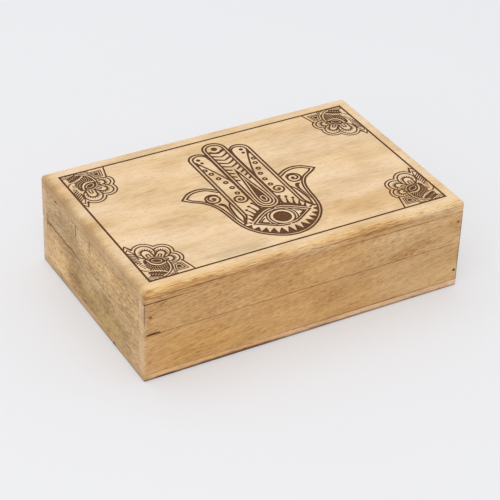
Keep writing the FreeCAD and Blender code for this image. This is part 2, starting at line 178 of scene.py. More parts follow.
# %% The wood finish
def wood(name, tones, along="X", shift=(0, 0, 0), slant=0.0, ripple=0.0, looks=(0.6, 0.5, 0.9),
         stains_and_shade=(), fleck=(8.0, 0.5), bold=None):
    """Solid wood with its grain along one axis. Tones run from the darkest to the palest.

    Looks are the strengths of clouds, streaks and flecks, and fleck is how long and wide one is. A
    stain, or a patch of painted shade, is a soft patch with a centre, a reach to each side, and the
    colour that it is tinted with.
    Bold gives two places along Y, between which the flecks gain strength, and how much they gain.
    """
    material, place = new_finish(name)
    turn = math.radians(slant)
    lean = (turn, 0.0, math.pi / 2) if along == "Y" else (0.0, turn, 0.0)
    grain = place.node("ShaderNodeMapping", {"Vector": place, "Location": shift, "Rotation": lean})

    def flecks(length, width, detail, roughness=0.55, warp=0.0, deep=None):
        """Noise about 0, in flecks this long and this wide, in millimetres."""
        drawn = grain.vector("MULTIPLY", (1 / length, 1 / width, 1 / (deep or width)))
        return drawn.noise(1.0, detail, Roughness=roughness, Distortion=warp) - 0.5

    clouds, streaks, specks = looks
    if bold:
        faint, full, gain = bold
        depth = place.node("ShaderNodeSeparateXYZ", {0: place}, output="Y")
        specks = specks + gain * depth.smooth(faint, full)
    broad = flecks(120, 13, 1.0, warp=0.3)
    streak = flecks(38, 1.7, 2.0, warp=0.2)
    fibre = flecks(*fleck, 2.0, roughness=0.7)
    dash = flecks(0.8 * fleck[0], 0.9 * fleck[1], 0.0).smooth(0.08, 0.22)
    cloud = flecks(34, 20, 3.0)
    pore = flecks(3.8, 0.36, 0.0).smooth(0.15, 0.25)
    patch = cloud.smooth(-0.05, 0.2)
    tone = 0.55 + streaks * (1.1 * broad + streak) + specks * (fibre - 0.22 * dash) + clouds * cloud
    if ripple:
        tone = tone + ripple * flecks(3.4, 60, 1.0, deep=15) * flecks(60, 30, 1.0).smooth(-0.05, 0.2)
    stops = [(index / (len(tones) - 1), colour) for index, colour in enumerate(tones)]
    bare = place.node("ShaderNodeValToRGB", {"Fac": tone}, stops=stops)
    dark = tuple(0.5 * part for part in tones[0][:3]) + (1.0,)
    colour = (pore * 0.5 * (0.4 + 0.6 * patch)).between(bare, dark)
    colour = flecks(60, 26, 2.0).smooth(-0.12, 0.16).tinted(colour, (1.0, 0.97, 0.88, 1.0))
    for centre, size, shade in stains_and_shade:
        share = place.vector("SUBTRACT", centre).vector("DIVIDE", size)
        reach = share.vector("LENGTH", output="Value")
        colour = (reach + 0.9 * cloud + 0.4 * streak).smooth(1.0, 0.35).tinted(colour, (*shade, 1.0))
    height = 0.5 * fibre + 0.25 * streak - 0.5 * pore
    dull = 0.5 + 0.25 * fibre + 0.2 * streak + 0.12 * pore
    close_finish(place, {"Base Color": colour, "Roughness": dull, "Specular IOR Level": 0.35,
                         "Normal": height.bump(0.3, 0.1)})
    return material


LID_TONES = [rgb(190, 150, 104), rgb(223, 189, 144), rgb(241, 210, 170), rgb(249, 223, 190)]
FRONT_TONES = [rgb(138, 96, 54), rgb(190, 147, 95), rgb(215, 173, 120), rgb(230, 194, 146)]
SIDE_TONES = [rgb(126, 90, 44), rgb(187, 150, 98), rgb(216, 181, 134), rgb(236, 205, 158)]
BOTTOM_TONES = [rgb(168, 124, 82), rgb(220, 177, 132), rgb(238, 199, 158), rgb(243, 209, 172)]
print("four ramps of wood tones, from the burnished front to the pale lid")

# %% [markdown]
# ## Eased boards
# Every edge of a real board is broken with sandpaper, or it would splinter, and that soft edge is
# what draws the fine dark line between two boards. A Bevel modifier could round the packed boards,
# but it also rounds nail holes and hinge seats until they collapse. So a softly rounded block is
# made for each board, a hair smaller than the board, and only what it shares with the packed board
# is kept: the block brings the worn outside, and the board brings every hole and seat. The rims
# hardly wander, because the saw that parted lid and base left them true.

# %% A block with worn edges
HAIR = 0.02
WEAR = np.array((0.10, 0.10, 0.015))
FACE_STEP = 5.0


def wander(point, scale, seed):
    """A smooth number from 0 to 1 that wanders from place to place."""
    return 0.5 + 0.5 * noise.noise(Vector(point) * scale + Vector((seed * 7.3, seed * 3.1, seed)))


def eased_block(low, high, ease, seed, dent):
    """A block between two corners, in millimetres, with rounded edges and slightly uneven faces."""
    middle = (low + high) / 2
    half = (high - low) / 2 - HAIR
    round_off = ease * np.tan(np.radians([22.5, 45.0]))
    stops = []
    for reach in half:
        flat = np.linspace(ease - reach, reach - ease, max(2, round(2 * reach / FACE_STEP)) + 1)
        stops.append(np.concatenate([-(reach - ease + round_off)[::-1], flat, reach - ease + round_off]))
    block = bmesh.new()
    for axis in range(3):
        right, up = (axis + 1) % 3, (axis + 2) % 3
        for side in (-1, 1):
            rows = []
            for across in stops[right]:
                row = []
                for along in stops[up]:
                    point = np.zeros(3)
                    point[[axis, right, up]] = side * half[axis], across, along
                    core = np.clip(point, ease - half, half - ease)
                    out = (point - core) / np.linalg.norm(point - core)
                    place = middle + core + ease * out
                    sunk = WEAR * (wander(place, 0.09, seed) + 0.6 * wander(place, 0.5, seed))
                    sunk = sunk + dent(place) if dent else sunk
                    row.append(block.verts.new((place - out * sunk) * MM))
                rows.append(row)
            for near, far in zip(rows, rows[1:]):
                for a, b, c, d in zip(near, far, far[1:], near[1:]):
                    block.faces.new((a, b, c, d) if side > 0 else (d, c, b, a))
    bmesh.ops.remove_doubles(block, verts=block.verts, dist=1e-7)
    return block


def linked(name, data):
    """A scene object for a mesh, a lamp or a camera."""
    made = bpy.data.objects.new(name, data)
    bpy.context.scene.collection.objects.link(made)
    return made


def object_of(shape, name):
    """A scene object for a finished bmesh."""
    mesh = bpy.data.meshes.new(name)
    shape.to_mesh(mesh)
    shape.free()
    return linked(name, mesh)


def settled(made):
    """The object's mesh with its modifiers worked in, and the modifiers removed."""
    view = bpy.context.evaluated_depsgraph_get()
    mesh = bpy.data.meshes.new_from_object(made.evaluated_get(view), depsgraph=view)
    made.modifiers.clear()
    made.data = mesh
    return mesh


def closed_shell(node):
    """The packed node's solids with their faces joined along the edges."""
    shape = bmesh.new()
    shape.from_mesh(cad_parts[node].data)
    bmesh.ops.remove_doubles(shape, verts=shape.verts, dist=1e-6)
    return shape


def shade_softly(made, crease=40.0):
    """Smooth shading that leaves broad faces flat and keeps edges sharper than the crease."""
    made.data.shade_smooth()
    made.data.set_sharp_from_angle(angle=math.radians(crease))
    level = made.modifiers.new("level", "WEIGHTED_NORMAL")
    level.keep_sharp = True
    settled(made)


def belongs(piece, body, slot, *nodes):
    """Rides a finished piece on its body and lets it stand for its nodes, which it hides. Its slot is not
    used.
    """
    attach(piece, body)
    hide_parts(*nodes)


def cut(piece, operation, tool):
    """Cuts a piece with another shape, or keeps what they share, and throws the other away."""
    cutter = piece.modifiers.new("cut", "BOOLEAN")
    cutter.operation = operation
    cutter.solver = "EXACT"
    cutter.material_mode = "TRANSFER"
    cutter.object = tool
    settled(piece)
    bpy.data.objects.remove(tool)


def board(node, body, slot, finish, seed, dent, splits, ease):
    """A worn board that stands for a packed one."""
    low, high = (np.array(corner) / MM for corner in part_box(node))
    piece = object_of(eased_block(low, high, ease, seed, dent), node + "_worn")
    cut(piece, "INTERSECT", object_of(closed_shell(node), node + "_solid"))
    piece.data.materials.clear()
    piece.data.materials.append(finish)
    piece.data.polygons.foreach_set("material_index", [0] * len(piece.data.polygons))
    for split in splits:
        cut(piece, "DIFFERENCE", crack(*split))
    shade_softly(piece)
    belongs(piece, body, slot, node)
    return piece


print("blocks have rounded edges, and faces that wander by", WEAR[0], "mm")

# %% [markdown]
# ## The walls, rails and bottom
# Long boards run the full length at the front and back, and short ones are nailed between them, so
# the long boards' end grain shows at the sides. Years of drying have opened the seams in places, at
# the near corner of the front and along the rear of the left side. Those are dents in the blocks.
# Drying has also split the lid's left rail and one end of its front rail. Thin wedges cut those
# checks, and their walls are brown dust, dark enough to be painted shade in the cracks as well.
# Most boards are tinted in soft patches: some are stains of handling, and some are painted shade,
# along the foot and in the seam between lid and base.

# %% Open seams and checks
LEFT_END, FRONT, BASE_FOOT = (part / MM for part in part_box("base_front_wall")[0])
BASE_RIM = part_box("base_front_wall")[1][2] / MM
LID_RIM, LID_SEAT = (corner[2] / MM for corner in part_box("lid_front_rail"))
SEAM_DEEP, SEAM_TALL, SEAM_LONG = 5.0, 1.4, 14.0
REAR_START, REAR_RISE = 16.0, 12.0


def fade(distance, reach):
    """1 at no distance, falling to 0 at the reach."""
    return max(0.0, 1 - abs(distance) / reach)


def near_corner(place):
    """1 at the near corner of the front, and 0 further along it."""
    return fade(place[0] - LEFT_END, SEAM_LONG) ** 0.5


def rear_left(place):
    """1 along the rear third of the left side, and 0 further forward."""
    return min(1.0, max(0.0, (place[1] - REAR_START) / REAR_RISE))


def gap(deep, level, axis, face, where):
    """A dent along the seam at one level of an outer face."""
    def dent(place):
        """How far the face sinks at a place."""
        near = fade(place[axis] - face, SEAM_DEEP) * fade(place[2] - level, SEAM_TALL)
        return deep * near * where(place) * (0.5 + wander(place, 0.6, 5))
    return dent


def dust(name):
    """Brown dust in speckles, quite matt, dark enough to stand for painted shade inside a crack too."""
    material, place = new_finish(name)
    speck = place.noise(1.5, 3.0)
    close_finish(place, {"Base Color": speck.between(rgb(74, 46, 24), rgb(134, 95, 58)),
                         "Roughness": 0.8 + 0.3 * speck, "Specular IOR Level": 0.1})
    return material


# dust on the crack walls, which also paints the shade inside the cracks
crack_dust_and_shade = dust("crack_dust_and_shade")


def crack(axis, face, path, width, depth):
    """A thin wedge under an outer face, along a path of (along, up) points, with pointed ends."""
    rows, wedge = [], bmesh.new()
    steep = abs(path[-1][1] - path[0][1]) > abs(path[-1][0] - path[0][0])
    for step, (place, up) in enumerate(path):
        half = width / 2 * (0.25 + math.sin(math.pi * (step + 0.5) / len(path)))
        row = []
        for out, aside in ((0.3, half), (0.3, -half), (-depth, 0.0)):
            point = [0.0, 0.0, up]
            point[axis] = face - out
            point[1 - axis] = place
            point[1 - axis if steep else 2] += aside
            row.append(wedge.verts.new(Vector(point) * MM))
        rows.append(row)
    for near, far in zip(rows, rows[1:]):
        for k in range(3):
            wedge.faces.new((near[k], near[k - 1], far[k - 1], far[k]))
    wedge.faces.new(rows[0])
    wedge.faces.new(rows[-1][::-1])
    bmesh.ops.recalc_face_normals(wedge, faces=wedge.faces)
    made = object_of(wedge, "crack")
    made.data.materials.append(crack_dust_and_shade)
    return made


seams = {
    "base_front_wall": gap(0.5, BASE_RIM, 1, FRONT, near_corner),
    "lid_front_rail": gap(0.7, LID_SEAT, 1, FRONT, near_corner),
    "base_left_wall": gap(0.45, BASE_RIM, 0, LEFT_END, rear_left),
    "lid_left_rail": gap(0.45, LID_RIM, 0, LEFT_END, rear_left),
}
checks = {
    "lid_front_rail": [
        (1, FRONT, [(-113.4, 34.8), (-110.5, 34.9), (-107.2, 35.1), (-104.0, 34.8)], 0.9, 4.0)],
    "lid_left_rail": [
        (0, LEFT_END, [(21.9, 58.4), (22.2, 54.6), (21.7, 51.2), (22.0, 47.4)], 0.8, 2.2),
        (0, LEFT_END, [(1.8, 58.4), (1.5, 55.0), (2.0, 51.8), (1.7, 48.2)], 0.8, 2.2),
        (0, LEFT_END, [(54.4, 57.2), (52.6, 57.5), (50.2, 57.1)], 1.0, 1.6)],
}
print("open seams on", len(seams), "boards, checks in", len(checks))

# %% Make the boards
LONG_FLECK, LONG_LOOKS = (5.5, 0.45), (0.6, 0.5, 1.05)
LONG = (FRONT_TONES, "X", LONG_LOOKS, LONG_FLECK)
SHORT = (SIDE_TONES, "Y", (1.0, 0.5, 1.9), (4.5, 0.5))
FRONT_RAIL = (FRONT_TONES, "X", (0.7, 0.6, 1.45), LONG_FLECK)
BOTTOM = (BOTTOM_TONES, "X", LONG_LOOKS, LONG_FLECK)
WALL_EASE, BOTTOM_EASE = 0.22, 0.9


def end_grain(end, face):
    """The paler, pinker wood where a long board shows its end."""
    return ((end, face - math.copysign(3.5, face), 30), (2.5, 8, 90), (1.1, 1.28, 1.75))


front_stains_and_shade = [
    end_grain(LEFT_END, FRONT), end_grain(-LEFT_END, FRONT),
    # dark bands down the left and right ends of the front
    ((LEFT_END + 0.4, FRONT, 50), (0.9, 1.1, 14), (0.55, 0.5, 0.45)),
    ((-LEFT_END, FRONT, 24), (1.9, 1.9, 60), (0.4, 0.36, 0.33)),
    # painted shade along the seam between lid and base, darkest near the front-left corner
    ((LEFT_END, FRONT, LID_SEAT), (50, 3, 1.2), (0.3, 0.24, 0.2)),
    ((70, FRONT, LID_SEAT), (52, 3, 0.9), (0.62, 0.54, 0.46)),
    # painted shade along the foot of the wall, where it meets the bottom board
    ((60, FRONT, BASE_FOOT), (150, 2, 0.9), (0.45, 0.38, 0.32)),
    ((-50, FRONT, 30), (150, 60, 90), (1.0, 0.95, 0.86)),
    ((60, FRONT, 44), (50, 20, 9), (0.95, 0.93, 0.9)),
    ((-78, FRONT, 16), (48, 20, 20), (1.12, 1.11, 0.98)),
    ((88, FRONT, 16), (52, 20, 22), (1.04, 1.09, 1.18)),
    ((78, FRONT, 38.5), (14, 6, 5), (1.12, 1.12, 1.12)),
]
side_stains = [
    ((LEFT_END, -8, 12), (20, 54, 18), (0.84, 0.81, 0.62)),
    ((LEFT_END, 10, 22), (20, 40, 16), (0.9, 0.87, 0.8)),
    ((LEFT_END, 36, 44), (20, 26, 14), (0.88, 0.875, 0.84)),
    ((LEFT_END, -34, 26), (20, 30, 16), (0.91, 0.9, 0.83)),
    ((LEFT_END, 54, 14), (20, 28, 20), (1.22, 1.2, 1.16)),
    ((LEFT_END, -30, 47), (20, 62, 17), (1.14, 1.135, 1.1)),
]
back_stains = [end_grain(LEFT_END, -FRONT), end_grain(-LEFT_END, -FRONT)]
bottom_stains_and_shade = [
    ((LEFT_END, 0, 2), (6, 300, 20), (0.72, 0.72, 0.62)),
    ((-LEFT_END, FRONT, 3), (9, 4, 8), (1.08, 1.2, 1.35)),
    # painted shade: a dark spot at the foot of the left side, as in a nick
    ((LEFT_END, -33, 1), (4, 2.2, 2.4), (0.2, 0.17, 0.15)),
    ((-75, FRONT, 3), (75, 8, 8), (0.96, 0.91, 0.78)),
    # painted shadow at the foot: the next four darken the bottom board's lower edge along the front and
    # the left side, most near the front-left corner
    ((-60, FRONT, 0), (80, 5, 3.0), (0.5, 0.48, 0.48)),
    ((-101, FRONT, 0), (13, 5, 2.6), (0.25, 0.2, 0.17)),
    ((0, FRONT, 0), (400, 5, 2.4), (0.42, 0.36, 0.32)),
    ((LEFT_END, 0, 0), (5, 300, 2.0), (0.5, 0.44, 0.4)),
]
boards = [
    ("base_front_wall", LONG, (31, 12, 4), 9.0, 0.4, front_stains_and_shade),
    ("base_back_wall", LONG, (310, 44, 9), -3.0, 0.3, back_stains),
    ("base_left_wall", SHORT, (77, 140, 31), -3.0, 0.3, side_stains),
    ("base_right_wall", SHORT, (19, 91, 63), 2.0, 0.2, ()),
    ("lid_front_rail", FRONT_RAIL, (52, 15, 8), 10.0, 0.4, front_stains_and_shade),
    ("lid_back_rail", LONG, (205, 70, 17), 4.0, 0.3, back_stains),
    ("lid_left_rail", SHORT, (140, 33, 58), 2.0, 0.3, side_stains),
    ("lid_right_rail", SHORT, (260, 21, 80), -2.0, 0.2, ()),
    ("bottom_board", BOTTOM, (170, 60, 22), 1.0, 0.2, bottom_stains_and_shade),
]
for seed, (node, kind, shift, slant, ripple, stains_and_shade) in enumerate(boards, start=1):
    tones, along, looks, fleck = kind
    finish = wood(node + "_wood", tones, along, shift, slant, ripple, looks, stains_and_shade, fleck)
    slot, ease = ("bottom_wood", BOTTOM_EASE) if kind is BOTTOM else ("wall_wood", WALL_EASE)
    body = "lid" if node.startswith("lid") else "base"
    piece = board(node, body, slot, finish, seed, seams.get(node), checks.get(node, ()), ease)
    print(piece.name, len(piece.data.polygons), "faces")

# %% [markdown]
# ## Drawing the ornament
# The lid carries an open hand with an eye in its palm, a thin border, and a flower in each corner,
# all old motifs of amulets and henna work. They are burnt in by a fine hot point. The drawing is
# kept as a list of flat outlines in millimetres, in the order in which they are drawn: each one
# either burns its area or clears it again, so that a petal can hide what lies behind it, and a row
# of pale teeth can be cut out of a dark band.

# %% Curves to draw along
SPAN_POINTS = 14


def thin(path, slack=0.012):
    """Leaves out the points of a path that lie on a straight run, within the slack."""
    if len(path) < 3:
        return path
    run = path[-1] - path[0]
    length = np.hypot(*run)
    away = path - path[0]
    if length > 1e-9:
        off = np.abs(run[0] * away[:, 1] - run[1] * away[:, 0]) / length
    else:
        off = np.hypot(away[:, 0], away[:, 1])
    far = int(np.argmax(off))
    if off[far] <= slack:
        return np.array([path[0], path[-1]])
    return np.vstack([thin(path[:far + 1], slack)[:-1], thin(path[far:], slack)])


def curve(points, closed=False):
    """A smooth path through the given points."""
    points = np.array(points, float)
    if closed:
        ring = np.vstack([points[-1:], points, points[:2]])
    else:
        ring = np.vstack([2 * points[0] - points[1], points, 2 * points[-1] - points[-2]])
    share = np.linspace(0, 1, SPAN_POINTS)[:, None]
    spans = []
    for before, start, end, after in zip(ring, ring[1:], ring[2:], ring[3:]):
        bend = 2 * before - 5 * start + 4 * end - after
        twist = 3 * start - before - 3 * end + after
        span = start + 0.5 * ((end - before) * share + bend * share ** 2 + twist * share ** 3)
        spans.append(span[:-1])
    return thin(np.vstack(spans + [ring[-2:-1]]))


def arc(centre, radius, start=0.0, stop=360.0, turn=0.0):
    """Part of a circle, or of an ellipse when radius is a pair, between two angles in degrees."""
    wide, tall = radius if np.ndim(radius) else (radius, radius)
    count = max(8, int(abs(stop - start) * max(wide, tall) ** 0.5 / 16))
    angle = np.radians(np.linspace(start, stop, count + 1))
    flat = np.stack([wide * np.cos(angle), tall * np.sin(angle)], axis=1)
    cos, sin = math.cos(math.radians(turn)), math.sin(math.radians(turn))
    return np.array(centre) + flat @ np.array([[cos, sin], [-sin, cos]])


def spiral(centre, start_radius, end_radius, start, stop):
    """A path that winds in from one radius to another between two angles in degrees."""
    share = np.linspace(0, 1, int(abs(stop - start) / 9) + 1)
    angle = np.radians(start + (stop - start) * share)
    radius = start_radius + (end_radius - start_radius) * share
    return np.array(centre) + radius[:, None] * np.stack([np.cos(angle), np.sin(angle)], axis=1)


def unit(ways):
    """Steps brought to a length of 1."""
    return ways / np.maximum(np.linalg.norm(ways, axis=1), 1e-6)[:, None]


def left_of(ways):
    """Steps turned to the left by a right angle."""
    return np.stack([-ways[:, 1], ways[:, 0]], axis=1)


def beside(path, gap):
    """A path that runs beside another, a gap to its left."""
    return path + gap * left_of(unit(np.gradient(path, axis=0)))


def run_of(path):
    """How far along a path each of its points lies."""
    return np.append(0.0, np.cumsum(np.hypot(*np.diff(path, axis=0).T)))


print("a quarter circle takes", len(arc((0, 0), 5, 0, 90)), "points")

# %% The drawing itself
LINE, INNER, FINE = 1.45, 1.3, 1.1
STROKE_PART = 10
SHARPEST_MITRE = 0.6
LEAST_TIP = 0.12


class Drawing:
    """Outlines in drawing order, each burnt or cleared, placed by a mirror and a shift."""

    def __init__(self):
        self.outlines = []
        self.at((0, 0))

    def at(self, origin, flip=(1, 1)):
        """Where the next outlines go, and which way round."""
        self.origin, self.flip = np.array(origin, float), np.array(flip, float)

    def fill(self, outline, burnt=True):
        """A burnt area."""
        self.outlines.append((np.asarray(outline, float) * self.flip + self.origin, burnt))

    def clear(self, outline):
        """A pale area."""
        self.fill(outline, burnt=False)

    def line(self, path, width=LINE, burnt=True, closed=False):
        """A stroke along a path. A list of widths is spread evenly from its start to its end."""
        path = np.vstack([path, path[:1]]) if closed else np.asarray(path, float)
        path = path[np.append(True, np.hypot(*np.diff(path, axis=0).T) > 1e-6)]
        run = run_of(path)
        spread = np.atleast_1d(width)
        half = np.interp(run / run[-1], np.linspace(0, 1, len(spread)), spread) / 2
        ahead = unit(np.diff(path, axis=0))
        ends = (ahead[-1:], ahead[:1]) if closed else (ahead[:1], ahead[-1:])
        turned = unit(np.vstack([ends[0], ahead]) + np.vstack([ahead, ends[1]]))
        square = np.clip((turned[:-1] * ahead).sum(1), SHARPEST_MITRE, 1.0)
        square = np.append(square, square[0] if closed else square[-1])
        side = left_of(turned) * (half / square)[:, None]
        left, right = path + side, path - side
        for first in range(0, len(path) - 1, STROKE_PART):
            part = slice(first, min(first + STROKE_PART, len(path) - 1) + 1)
            self.fill(np.vstack([left[part], right[part][::-1]]), burnt)
        if not closed:
            for tip, size in ((path[0], half[0]), (path[-1], half[-1])):
                if size > LEAST_TIP:
                    self.dot(tip, size, burnt)

    def pale(self, path, width, closed=False):
        """A stroke that clears what it runs over."""
        self.line(path, width, burnt=False, closed=closed)

    def dot(self, centre, radius, burnt=True):
        """A round area."""
        self.fill(arc(centre, radius)[:-1], burnt)

    def ring(self, centre, radius, width):
        """A round stroke."""
        self.line(arc(centre, radius), width, closed=True)


drawing = Drawing()
fill, clear, line, pale, dot = drawing.fill, drawing.clear, drawing.line, drawing.pale, drawing.dot
print("lines are", LINE, "and", FINE, "mm wide")

# %% [markdown]
# ## The hand
# The hand is the same left and right, so its parts are drawn on one side and mirrored. It is built
# from few shapes: the three upright fingers are long ovals, the thumbs curl outwards into points,
# and the palm is a deep bowl that holds the eye. Working from the back forwards, the dark bands come
# first, then what is cut out of them, and the outlines come last.

# %% Palm, eye and teeth
HAND = (0.3, 0.0)
EYE = (0.0, -38.9)
TEETH, TOOTH_STEP, TOOTH_HALF = 7, 4.75, 2.0
TOOTH_LONG, TOOTH_LOSS = 6.1, 0.42
BOWL_TOP = -35.5
palm = curve([(48.4, 4.0), (44.4, 0.5), (38.3, -3.6), (34.3, -8.5), (32.0, -14.3), (30.9, -20.8),
              (29.9, -30.4), (28.4, -37.8), (25.5, -44.2), (20.8, -50.3), (14.0, -55.7), (7.0, -59.1),
              (0.0, -60.2)])
palm_inside = beside(palm, -1.9)
lash_line = [(20.6, -37.4), (17.2, -31.6), (12.9, -27.6), (8.2, -25.0), (4.4, -25.2), (0.0, -27.0)]
upper_lid = curve([(20.4, -38.8), (12.7, -33.0), (6.3, -29.2), (0.0, -27.9)])
lower_lid = curve([(20.4, -38.8), (12.9, -43.7), (6.5, -47.5), (0.0, -48.7)])
gum = curve([(24.6, -34.6), (21.6, -40.4), (18.0, -43.9), (14.2, -46.6), (9.5, -49.2), (4.9, -50.4),
             (0.0, -50.6)])


def both_sides():
    """Aims the drawing at the right half of the hand, and then at its left half."""
    for side in (1, -1):
        drawing.at(HAND, (side, 1))
        yield side


def along(path, distance):
    """The point at a distance along a path, and the direction to its left there."""
    run = run_of(path)
    point, ahead, back = (np.array([np.interp(place, run, path[:, k]) for k in (0, 1)])
                          for place in (distance, distance + 0.1, distance - 0.1))
    return point, left_of(unit((ahead - back)[None]))[0]


def teeth():
    """Pale pointed teeth along the gum line, shorter towards the corners of the eye."""
    for place in range(TEETH):
        root, out = along(gum[::-1], TOOTH_STEP * place)
        step = TOOTH_HALF * np.array([-out[1], out[0]])
        clear([root + step, root - step, root - (TOOTH_LONG - TOOTH_LOSS * place) * out])


bowl = [point for point in palm_inside if point[1] < BOWL_TOP]
for _ in both_sides():
    fill(np.vstack([bowl, gum[::-1]]))
    fill(np.vstack([curve(lash_line), upper_lid[::-1]]))
for _ in both_sides():
    teeth()
print(len(drawing.outlines), "outlines after the teeth")

# %% Lids, iris and lashes
def eye():
    """Half of the eye: two lids, each a pair of lines, the iris with its pale ring, and the white."""
    lids = np.vstack([upper_lid[::-1], lower_lid])
    clear(np.vstack([upper_lid, lower_lid[::-1]]))
    pale(lids, 2.9)
    line(lids, INNER)
    inner = curve([(0.0, -29.8), (6.0, -31.2), (11.6, -34.4), (17.2, -38.9)])
    under = curve([(17.2, -38.9), (11.8, -42.6), (6.2, -45.6), (0.0, -46.8)])
    line(np.vstack([inner, under[1:]]), FINE)
    for radius, sweep in ((8.3, 58), (10.1, 40)):
        line(arc(EYE, radius, -sweep, sweep), FINE)
    white = curve([(11.3, -36.2), (13.2, -37.3), (15.3, -38.9)])
    line(np.vstack([white, white[::-1] * (1, -1) + (0, 2 * EYE[1])]), FINE)
    clear(arc(EYE, 7.6)[:-1])
    drawing.ring(EYE, 8.0, 0.8)
    dot(EYE, 6.05)


def lash(path, root, head):
    """A lash that narrows from its root and ends in a drop."""
    path = curve(path)
    line(path, [root, 1.7, 1.05, 0.9])
    dot(path[-1], head)


lashes = [
    ([(7.6, -27.2), (8.4, -22.2), (10.0, -17.2)], 3.2, 1.15),
    ([(11.2, -28.8), (12.0, -24.2), (13.6, -19.5)], 3.0, 1.15),
    ([(14.0, -30.8), (15.2, -26.8), (16.9, -22.7)], 2.8, 1.1),
    ([(16.8, -32.4), (17.8, -29.4), (19.3, -26.9)], 2.4, 0.4),
    ([(18.9, -35.0), (20.2, -32.4), (22.0, -30.6)], 2.2, 0.4),
    ([(20.8, -38.0), (22.2, -36.4), (23.8, -35.6)], 1.8, 0.4),
]
for _ in both_sides():
    for shape in lashes:
        lash(*shape)
for _ in both_sides():
    eye()
print(len(drawing.outlines), "outlines after the eye")

# %% The middle finger
CHEVRONS, CHEVRON_STEP, CHEVRON_TOP = 9, 4.72, 46.4
FINGERTIP = (0, 52.5)


def long_oval(half_width, top, bottom):
    """The outline of an upright finger: straight sides with a round end above and below."""
    above = arc((0, top - half_width), half_width, 0, 180)
    below = arc((0, bottom + half_width), half_width, 180, 360)
    return np.vstack([above, below])


def drop(half_width, top, bottom):
    """A long drop that hangs point up."""
    tall = top - bottom
    right = [(0.12 * half_width, top - 0.1 * tall), (0.42 * half_width, top - 0.36 * tall),
             (0.86 * half_width, top - 0.66 * tall), (half_width, bottom + 1.5 * half_width),
             (0.74 * half_width, bottom + 0.42 * half_width)]
    left = [(-u, v) for u, v in right[::-1]]
    return curve([(0, top)] + right + [(0, bottom)] + left + [(0, top)])


drawing.at(HAND)
finger = long_oval(8.1, 59.8, -26.7)
clear(finger)
line(finger, closed=True)
line(long_oval(6.0, 57.4, -24.4), INNER, closed=True)
for step in range(CHEVRONS):
    tip = CHEVRON_TOP - CHEVRON_STEP * step
    for _ in both_sides():
        if step == 0:
            brow = arc(FINGERTIP, 4.2, 270, 330)
            fill(np.vstack([brow, [(5.9, 50.6), (5.9, 48.4), (0, tip - 0.6)]]))
        else:
            fill([(0, tip - 0.7), (0, tip + 0.7), (3.0, tip + 2.4), (5.9, tip + 4.5),
                  (5.9, tip + 2.2), (3.2, tip + 0.7)])
drawing.at(HAND)
dot(FINGERTIP, 2.2)
heart = drop(4.3, 24.6, -22.2)
clear(heart)
pale(heart, 3.0)
line(heart, INNER, closed=True)
fill(drop(3.0, 13.0, -20.1))
pale(arc((0, -14.9), (1.6, 3.0)), 0.7, closed=True)
print(len(drawing.outlines), "outlines after the middle finger")

# %% Side fingers with beads and curls
beads = [(18.2, 30.9), (16.4, 25.4), (14.8, 18.4), (12.9, 12.2), (12.1, 5.0), (12.2, -2.2)]
CURL = (13.9, -9.0)
THUMB_CURL = (29.8, -1.8)
THUMB_LIFT = -1.2


def side_finger():
    """A finger beside the middle one, with a slanting bar, a row of beads and a curl at its foot."""
    outer = np.vstack([[(24.6, -36.4)], curve([(23.6, -32.4), (22.2, -29.0), (22.0, -26.0)]),
                       arc((15.2, 44.1), (7.1, 7.1), 0, 172)])
    line(thin(outer))
    inner = np.vstack([[(24.4, -35.6)], curve([(21.8, -31.6), (20.3, -28.8), (19.8, -26.0)]),
                       arc((14.5, 43.7), 5.3, 0, 160), [(8.7, 40.0), (8.7, 8.0)]])
    line(thin(inner), INNER)
    curl = spiral(CURL, 5.1, 1.0, 190, 740)
    line(np.vstack([curve([(8.7, 8.0), (8.7, 0.0), (8.7, -6.0), curl[0]])[:-1], curl]))
    dot(CURL, 0.8)
    fill([(19.9, 43.0), (19.7, 37.4), (17.6, 37.6)])
    line(curve([(19.4, 42.4), (15.4, 32.5), (12.0, 22.9), (9.4, 13.9), (8.7, 9.0)]), INNER)
    dot((16.1, 44.4), 1.45)
    dot((15.5, 40.1), 1.25)
    for bead in beads:
        drawing.ring(bead, 1.25, 1.35)


def thumb(lift):
    """A thumb that curls out to a point, with a curl at its root and two leaves under it."""
    top = curve([(22.6, 6.0 + 0.4 * lift), (28.6, 10.1 + lift), (35.0, 11.4 + lift), (41.8, 9.6 + lift),
                 (48.4, 4.0 + lift)])
    line(top)

    def lifted(path):
        """A path of the palm, lifted more and more towards the thumb's tip."""
        return path + np.clip((path[:, :1] - 33) / 15, 0, 1) * (0, lift)

    line(lifted(palm))
    inner = lifted(palm_inside)
    line(np.vstack([curve([(23.2, 3.4 + 0.4 * lift), (28.9, 7.8 + lift), (34.8, 9.1 + lift),
                           (40.2, 7.9 + lift), (44.9, 4.3 + lift)]),
                    inner[inner[:, 0] < 43.0]]), INNER)
    line(np.vstack([arc(THUMB_CURL, 4.9, 150, -120)[:-1],
                    spiral(THUMB_CURL, 4.9, 0.6, -120, -620)]))
    dot(THUMB_CURL, 0.9)
    horn = curve([(30.6, -9.2), (27.8, -8.4), (25.8, -10.4), (25.5, -14.0), (26.3, -19.0), (26.9, -24.6),
                  (27.5, -29.4)])
    back = curve([(27.5, -29.4), (27.6, -22.0), (27.3, -16.0), (28.0, -12.0), (30.6, -9.2)])
    fill(np.vstack([horn, back[1:-1]]))
    line(curve([(22.7, -10.4), (24.4, -14.4), (25.3, -19.6), (25.9, -26.0), (25.5, -31.0),
                (24.6, -36.2)]), [1.0, 1.5, 1.7, 1.4, 1.0])


for side in both_sides():
    side_finger()
    thumb(THUMB_LIFT * side)
print(len(drawing.outlines), "outlines in the hand")

